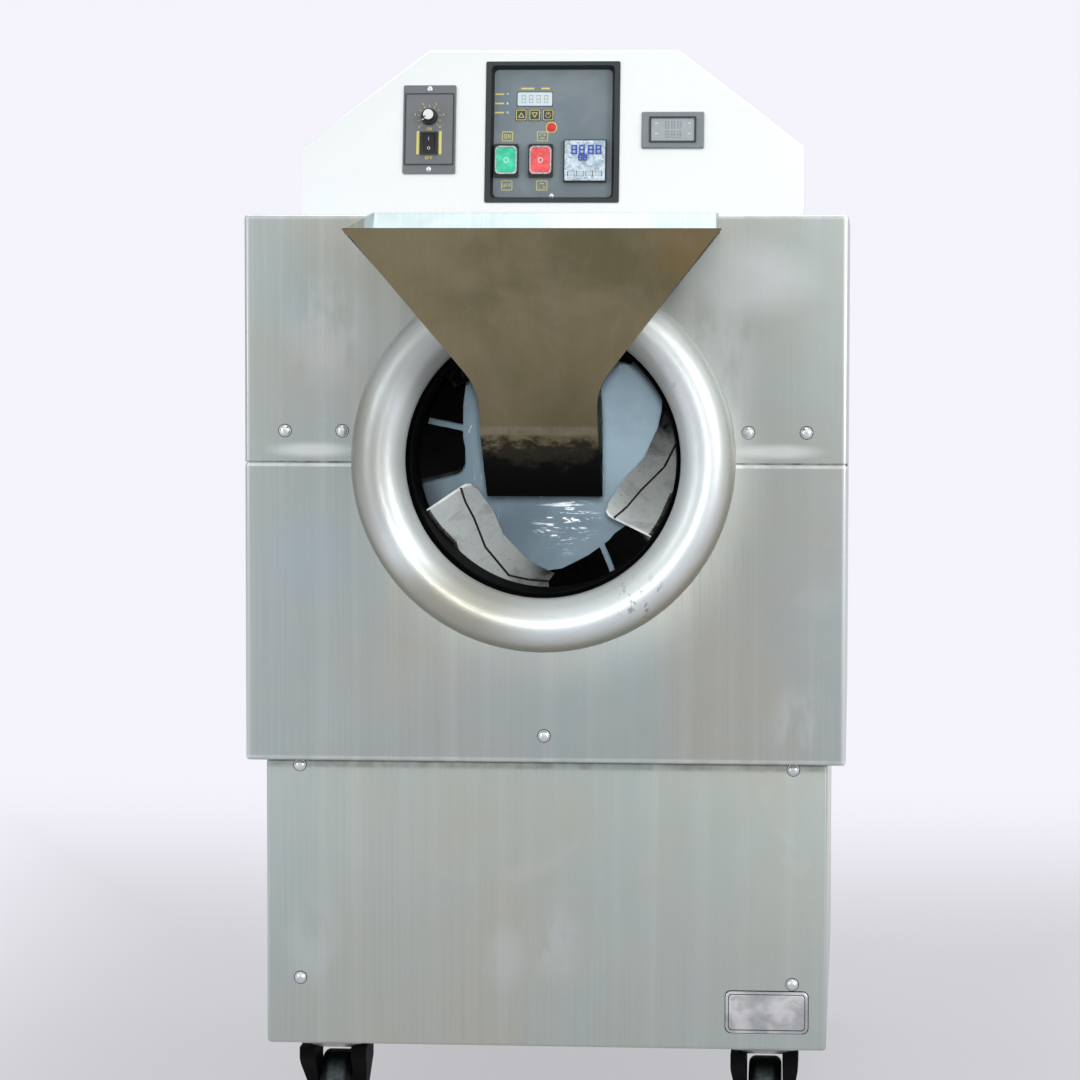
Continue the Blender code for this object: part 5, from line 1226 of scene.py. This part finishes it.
def icon_power(size, y):
    """A printed power mark: an open circle with a stem."""
    ring = arc((0, 0), size / 2, math.radians(125), math.radians(415), 18)
    return joined(stroke(ring, line_width, y), stroke([(0, size * 0.1), (0, size * 0.62)],
                                                      line_width, y))


def icon_turn(size, y, flipped):
    """A printed half circle with an arrow head over a short line, or the same upside down."""
    hand = -1 if flipped else 1
    ring = [(x, hand * (z + size * 0.02)) for x, z in
            arc((0, 0), size / 2, math.radians(15), math.radians(165), 12)]
    tip = ring[0]
    head = [(tip[0] - size * 0.26, tip[1] + hand * size * 0.06), tip,
            (tip[0] + size * 0.04, tip[1] + hand * size * 0.28)]
    base = [(-size * 0.3, -hand * size * 0.30), (size * 0.3, -hand * size * 0.30)]
    return joined(stroke(ring, line_width, y), stroke(head, line_width, y),
                  stroke(base, line_width, y))


def make_tray_prints():
    """The print on the tray's floor: labels as plain bars, ON and OFF, and the two arrows."""
    parts = []
    for z in (0.1264, 0.1168, 0.1073):
        parts.append(shifted(stroke([(-0.0045, 0), (0.0030, 0)], 0.0015, tray_y), -0.0540, 0, z))
    parts.append(shifted(stroke([(-0.006, 0), (0.006, 0)], 0.0017, tray_y), -0.0262, 0, 0.1322))
    parts.append(shifted(stroke([(-0.0035, 0), (0.0035, 0)], 0.0017, tray_y), -0.0082, 0, 0.1322))
    for z, text in ((0.0828, "ON"), (0.0323, "OFF")):
        parts.append(shifted(loop(0.0112, 0.0100, 0.001, line_width, tray_y), -0.0462, 0, z))
        parts.append(shifted(written(text, 0.0038 if text == "ON" else 0.0032, 0.0005, tray_y),
                             -0.0462, 0, z))
    for z, flip in ((0.0828, False), (0.0323, True)):
        parts.append(shifted(loop(0.0112, 0.0100, 0.001, line_width, tray_y), -0.0106, 0, z))
        parts.append(shifted(icon_turn(0.0062, tray_y, flip), -0.0106, 0, z))
    on_console("tray_prints", joined(*parts), ink_yellow, "housing")


def make_tray_lamps():
    """Three small indicator lamps, and the red dab of paint."""
    domes = []
    for z in (0.1264, 0.1168, 0.1073):
        profile = [(0, 0), (0.0013, 0), (0.0013, -0.0004)]
        profile += [(0.0011 * math.cos(t), -0.0004 - 0.0007 * math.sin(t))
                    for t in (math.pi / 2 * i / 5 for i in range(5))] + [(0, -0.0011)]
        domes.append(shifted(turned(profile, 20, closed=False), -0.0468, tray_y, z))
    on_console("indicator_lamps", joined(*domes), lens("pale_lens", (0.42, 0.48, 0.52), 0.05),
               "housing")
    rim = []
    for i in range(28):
        t = full_turn * i / 28
        r = 0.0050 * (1 + 0.13 * noise.noise(Vector((math.cos(t), math.sin(t), 0.4)) * 1.4))
        rim.append((r * math.cos(t), r * math.sin(t) * 0.95))
    on_console("red_dab", plate(rim, tray_y - 0.0006, tray_y - 0.0002, 0.0003, 2), red_dab,
               "housing", -0.0013, 0.0918)
    edge = [(x * 1.17, z * 1.17) for x, z in rim]
    on_console("red_dab_edge", plate(edge, tray_y - 0.0003, tray_y), ink_yellow, "housing",
               -0.0013, 0.0918)


def make_key_prints():
    """The outlines and marks on the three keys."""
    marks = {"key_up": ("up_key", lambda y: icon_triangle(0.0056, y, True)),
             "key_down": ("down_key", lambda y: icon_triangle(0.0056, y, False)),
             "key_power": ("power_key", lambda y: icon_power(0.0050, y))}
    for node, (body, mark) in marks.items():
        low, high = on_face(node)
        frame_line = loop(high.x - low.x - 0.0006, high.z - low.z - 0.0006, 0.0010, line_width,
                          low.y)
        on_console(node + "_print", joined(frame_line, mark(low.y)), ink_yellow, body,
                   (low.x + high.x) / 2, (low.z + high.z) / 2)


def make_display():
    """The display's digits and the frame round it."""
    low, high = on_face("display_window")
    x, z = (low.x + high.x) / 2, (low.z + high.z) / 2
    on_console("display_digits", written("8888", 0.0072, 0.0006, low.y, 0.55, 0.5), ink_soft,
               "housing", x, z)
    frame_line = loop(high.x - low.x + 0.0016, high.z - low.z + 0.0016, 0.0008, 0.0008,
                      tray_y)
    on_console("display_frame", frame_line, ink_dark, "housing", x, z)


def make_rocker_marks():
    """On each lens a pale ring, a short mark and ridges at both ends, and the clear rim of its frame, pale with
    scuffs and painted sheen."""
    for node, switch, body, slot in (
            ("heater_rocker", "heater_switch", "heater_button", "green_lens"),
            ("direction_rocker", "direction_switch", "direction_button", "red_lens")):
        low, high = on_face(node)
        x, z = (low.x + high.x) / 2, (low.z + high.z) / 2
        valley = low.y + 0.0013
        outer = [(0.0026 * math.cos(t), 0.0028 * math.sin(t))
                 for t in (full_turn * i / 28 for i in range(28))]
        inner = [(x0 * 0.70, z0 * 0.72) for x0, z0 in outer]
        ring = band(outer, inner, valley - 0.0006, valley + 0.0003)
        dashes = [stroke([(-0.0018, level), (0.0018, level)], 0.0005, valley - 0.0004)
                  for level in (-0.0062, -0.0073)]
        on_console(node + "_mark", joined(ring, *dashes), ink_pale, body, x, z)
        ridges = []
        for side in (-1, 1):
            for k in range(3):
                level = side * (0.0095 + 0.0009 * k)
                depth = low.y + 0.0013 * (1 - abs(level) / 0.0131)
                ridges.append(stroke([(-0.0070, level), (0.0070, level)], 0.0004, depth))
        on_console(node + "_grips", joined(*ridges), looks[slot], body, x, z)
        frame_low, frame_high = on_face(switch)
        rim = band(round_box(0.0222, 0.0288, 0.0046), round_box(0.0196, 0.0258, 0.0036),
                   low.y - 0.0008, frame_low.y)
        on_console(switch + "_rim", rim, clear_rim, "housing", x, z)


def make_film():
    """The controller's window with its digits, and the crinkled film over it, open over the
    keys."""
    low, high = on_face("temperature_controller")
    x, z = (low.x + high.x) / 2, (low.z + high.z) / 2
    half = (high.x - low.x) / 2 - 0.0011
    count = 44
    holes = []
    for i in range(1, 5):
        key_low, key_high = on_face(f"controller_key_{i}")
        holes.append((key_low.x - 0.0005, key_high.x + 0.0005, key_low.z - 0.0005,
                      key_high.z + 0.0005))
    bm = bmesh.new()
    grid = {}
    for i in range(count + 1):
        for j in range(count + 1):
            u = x - half + 2 * half * i / count
            w = z - half + 2 * half * j / count
            spot = Vector((u * 95, w * 95, 3.1))
            fold = abs(noise.noise(spot)) * 0.0013 + abs(noise.noise(spot * 2.3)) * 0.0005
            rim = min(i, j, count - i, count - j) / 3
            grid[i, j] = bm.verts.new((u, low.y - 0.0003 - fold * min(rim, 1), w))
    for i in range(count):
        for j in range(count):
            corners = (grid[i, j], grid[i + 1, j], grid[i + 1, j + 1], grid[i, j + 1])
            middle = sum((v.co for v in corners), Vector()) / 4
            if any(a < middle.x < b and c < middle.z < d for a, b, c, d in holes):
                continue
            bm.faces.new(corners)
    bmesh.ops.delete(bm, geom=[v for v in bm.verts if not v.link_faces], context="VERTS")
    piece = on_console("controller_film", bm, film, "housing")
    thick = piece.modifiers.new("thickness", "SOLIDIFY")
    thick.thickness = fine
    window_y = low.y + 0.0008
    pane = plate(round_box(0.0340, 0.0190, 0.0006, 3), window_y - 0.0004, window_y - fine / 2)
    on_console("controller_pane", pane, lcd, "housing", x, z + 0.0070)
    top = low.y - 0.0009
    digits = joined(shifted(written("88", 0.0080, 0.0014, top, thickness=0.0006), -0.0068, 0, 0.0112),
                    shifted(written("88", 0.0080, 0.0014, top, thickness=0.0006), 0.0100, 0, 0.0112),
                    shifted(written("88", 0.0052, 0.0012, top, thickness=0.0006), -0.0020, 0, 0.0030))
    on_console("controller_digits", digits, ink_blue, "housing", x, z)


def make_tray_screw():
    """The small screw at the tray's foot."""
    on_console("tray_screw", screw(0.0021, 0.0010), screw_steel, "housing",
               -0.0006, 0.0219, tray_y)


def make_speed_prints():
    """The speed controller's scale with its plain numbers, the switch's bars and labels, the
    dark line round its face and the plate's two screws."""
    low, high = on_face("speed_controller")
    knob_low, knob_high = on_face("speed_knob")
    face = low.y + 0.0016
    plate_y = face + 0.0006
    x = (low.x + high.x) / 2
    knob_z = (knob_low.z + knob_high.z) / 2
    parts = []
    for i in range(11):
        turn = math.radians(225 - 27 * i)
        ring = [(r * math.cos(turn), r * math.sin(turn)) for r in (0.0103, 0.0122)]
        parts.append(stroke(ring, 0.0005, face))
        if i % 2 == 0:
            number = written(str(i), 0.0019, 0.0004, face)
            parts.append(shifted(number, 0.0146 * math.cos(turn), 0, 0.0146 * math.sin(turn)))
    scale = shifted(joined(*parts), 0, 0, knob_z)
    bars = [stroke([(u - x, 0.0636), (u - x, 0.0846)], 0.0029, face) for u in (-0.1362, -0.1136)]
    labels = [shifted(written("ON", 0.0028, 0.0005, face), 0, 0, 0.0884),
              shifted(written("OFF", 0.0028, 0.0005, face), 0, 0, 0.0588)]
    on_console("speed_prints", joined(scale, *bars, *labels), ink_yellow, "housing",
               x)
    frame_line = loop(0.0500, 0.0738, 0.0008, 0.0012, face)
    on_console("speed_line", frame_line, ink_dark, "housing", x, 0.0882)
    rocker_low, rocker_high = on_face("run_rocker")
    switch_frame = band(round_box(0.0184, 0.0234, 0.0010), round_box(0.0130, 0.0212, 0.0006),
                        low.y - lift, face)
    on_console("run_switch_frame", switch_frame, looks["switch_plastic"], "housing",
               x, (rocker_low.z + rocker_high.z) / 2)
    lower = rocker_plane("run_rocker", 0)
    upper = rocker_plane("run_rocker", 1)
    finished("run_rocker_on_mark", stroke([(0, -0.0014), (0, 0.0014)], 0.0005, 0), ink_pale,
             "run_button", upper)
    finished("run_rocker_off_mark", loop(0.0030, 0.0030, 0.00149, 0.0005, 0), ink_pale,
             "run_button", lower)
    heads = [shifted(screw(0.0026, 0.0012), x, plate_y, z) for z in (0.0471, 0.1297)]
    on_console("speed_screws", joined(*heads), screw_steel, "housing")


def make_knob():
    """The speed knob: a fluted black skirt, a pale cap and its pointer."""
    low, high = on_face("speed_knob")
    x, z = (low.x + high.x) / 2, (low.z + high.z) / 2
    base = low.y + 0.0130
    lip = base - 0.0050
    skirt_radius = 0.0084
    cap_radius = 0.0057
    bm = bmesh.new()
    steps = 120
    rows = ((skirt_radius, base, 0.0), (skirt_radius, base - 0.0012, 0.0),
            (skirt_radius * 0.985, base - 0.0015, 1.0), (skirt_radius * 0.96, lip + 0.0006, 1.0),
            (skirt_radius * 0.90, lip, 0.6), (cap_radius * 1.02, lip - 0.0002, 0.0),
            (cap_radius, lip - 0.0006, 0.5), (cap_radius * 0.98, low.y + 0.0012, 0.5),
            (cap_radius * 0.93, low.y + 0.0003, 0.0), (cap_radius * 0.80, low.y, 0.0))
    rings = []
    for radius, y, flute in rows:
        ring = []
        for i in range(steps):
            t = full_turn * i / steps
            own = radius * (1 - 0.028 * flute * (0.5 + 0.5 * math.cos(24 * t)))
            ring.append(bm.verts.new((own * math.cos(t), y, own * math.sin(t))))
        rings.append(ring)
    for one, two in zip(rings, rings[1:]):
        for i in range(steps):
            j = (i + 1) % steps
            bm.faces.new((one[i], one[j], two[j], two[i]))
    bm.faces.new(rings[0])
    bm.faces.new(rings[-1])
    spindle = turned([(0, base), (0.003, base), (0.003, high.y), (0, high.y)], 24, closed=False)
    body = on_console("knob_skirt", joined(bm, spindle), looks["knob_plastic"], "speed_dial",
                      x, z)
    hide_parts("speed_knob")
    cap = turned([(0, low.y + 0.0002), (cap_radius * 0.90, low.y + 0.0002),
                  (cap_radius * 0.90, low.y - fine / 2), (cap_radius * 0.84, low.y - fine),
                  (0, low.y - fine)], 48, closed=False)
    on_console("knob_cap", cap, white_cap, "speed_dial", x, z)
    turn = math.radians(-120)
    tail = [(r * math.sin(turn), r * math.cos(turn)) for r in (0.0058, 0.0078)]
    on_console("knob_pointer", stroke(tail, 0.0012, lip - 0.0001, 0.0004), ink_pale, "speed_dial",
               x, z)
    # Painted shade: a dark stroke stands for the notch in the cap.
    notch = [(r * math.sin(turn), r * math.cos(turn)) for r in (0.0036, 0.0046)]
    on_console("knob_notch", stroke(notch, 0.0011, low.y - 0.0001, 0.0001), shadow_black,
               "speed_dial", x, z)


def make_meter():
    """The power meter's black inner frame, its glass and two rows of faint digits."""
    low, high = on_face("power_meter")
    x, z = (low.x + high.x) / 2, (low.z + high.z) / 2
    floor = low.y + 0.0010
    glass = plate(round_box(0.0434, 0.0228, 0.0006, 3), floor - 0.0004, floor - fine / 2)
    on_console("meter_glass", glass, meter_glass, "housing", x, z)
    face = floor - 0.0004
    rows = [shifted(written("888", 0.0062, 0.0006, face, 0.5, 0.5), 0.0005, 0, level)
            for level in (0.0048, -0.0050)]
    corners = [shifted(stroke([(-0.0010, 0), (0.0010, 0)], 0.0008, face), side * 0.0165, 0, level)
               for side in (-1, 1) for level in (0.0066, -0.0042)]
    on_console("meter_digits", joined(*rows), ink_grey, "housing", x, z)
    on_console("meter_marks", joined(*corners), ink_pale, "housing", x, z)
    inner = loop(0.0476, 0.0270, 0.0010, 0.0020, low.y)
    on_console("meter_frame", inner, ink_dark, "housing", x, z)


make_tray_prints()
make_tray_lamps()
make_key_prints()
make_display()
make_rocker_marks()
make_film()
make_tray_screw()
make_speed_prints()
make_knob()
make_meter()


# Hopper and casters

def make_hopper_seams():
    """The seams that weld the hopper's sides to its front."""
    beads = []
    for side in (-1, 1):
        top = Vector((side * 0.1785, hopper_low.y + 0.0042, hopper_high.z - 0.020))
        low = Vector((side * 0.0700, fold_y - 0.0068, fold_z + 0.064))
        beads.append(bead(spread([top, low], 0.0022), 0.0008, 6, 0.2))
    finished("hopper_seams", joined(*beads), weld, "filling_hopper")


def wheel_mesh(radius, half, rubber):
    """A caster's wheel about the X axis: its tyre, or its hub with a boss and five ribs."""
    groove = 0.0295
    corner = 0.007
    if rubber:
        side = [(groove, half - 0.0012), (groove + 0.0008, half - 0.0002)]
        side += [(radius - corner + corner * math.sin(t), half - corner + corner * math.cos(t))
                 for t in (math.pi / 2 * i / 8 for i in range(9))]
        other = [(r, -h) for r, h in reversed(side)]
        return turned(side + other, 72, "X")
    boss = 0.0098
    bore = 0.0053
    web = half - 0.0045
    rim = 0.0240
    side = [(bore, half - 0.0010), (boss, half - 0.0010), (boss + 0.0006, half - 0.0016),
            (boss + 0.0012, web), (rim - 0.0010, web), (rim, half - 0.0006),
            (groove - 0.0008, half - 0.0006), (groove, half - 0.0014)]
    other = [(r, -h) for r, h in reversed(side)]
    parts = [turned(side + other, 72, "X")]
    for i in range(5):
        for hand in (-1, 1):
            rib = plate([(-0.0013, boss - 0.001), (0.0013, boss - 0.001), (0.0013, rim),
                         (-0.0013, rim)], 0, 0.0030)
            spun(rib, math.pi / 2, "Z")
            shifted(rib, hand * (web + (0.0030 if hand > 0 else 0)), 0, 0)
            parts.append(spun(rib, full_turn * i / 5, "X"))
    return joined(*parts)


def make_wheels():
    """Each caster's tyre and hub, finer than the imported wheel, and its axle's bolt and nut."""
    for corner in ("front_left", "front_right", "rear_left", "rear_right"):
        low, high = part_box(corner + "_wheel")
        middle = (low + high) / 2
        half = (high.x - low.x) / 2
        radius = (high.z - low.z) / 2
        place = Matrix.Translation((middle.x, middle.y, middle.z))
        tyre = finished(corner + "_tyre", wheel_mesh(radius, half, True), looks["wheel_tyre"],
                        corner + "_roll", place)
        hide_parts(corner + "_wheel")
        finished(corner + "_hub", wheel_mesh(radius, half, False), hub_grey, corner + "_roll",
                 place)
        fork = frame["nodes"][corner + "_fork"].data.vertices
        leg = max(abs(v.co.x - middle.x) for v in fork if v.co.z < middle.z + 0.003)
        nut = plate([(0.0068 * math.cos(t), 0.0068 * math.sin(t))
                     for t in (full_turn * i / 6 for i in range(6))], -0.0045, 0, 0.0006)
        heads = joined(spun(screw(0.0066, 0.0032), -math.pi / 2, "Z"),
                       shifted(bmesh.new(), 0))
        shifted(heads, -leg, 0, 0)
        spun(nut, math.pi / 2, "Z")
        shifted(nut, leg, 0, 0)
        finished(corner + "_axle", joined(heads, nut), looks["zinc_plate"], corner + "_swivel",
                 place)


make_hopper_seams()
make_wheels()
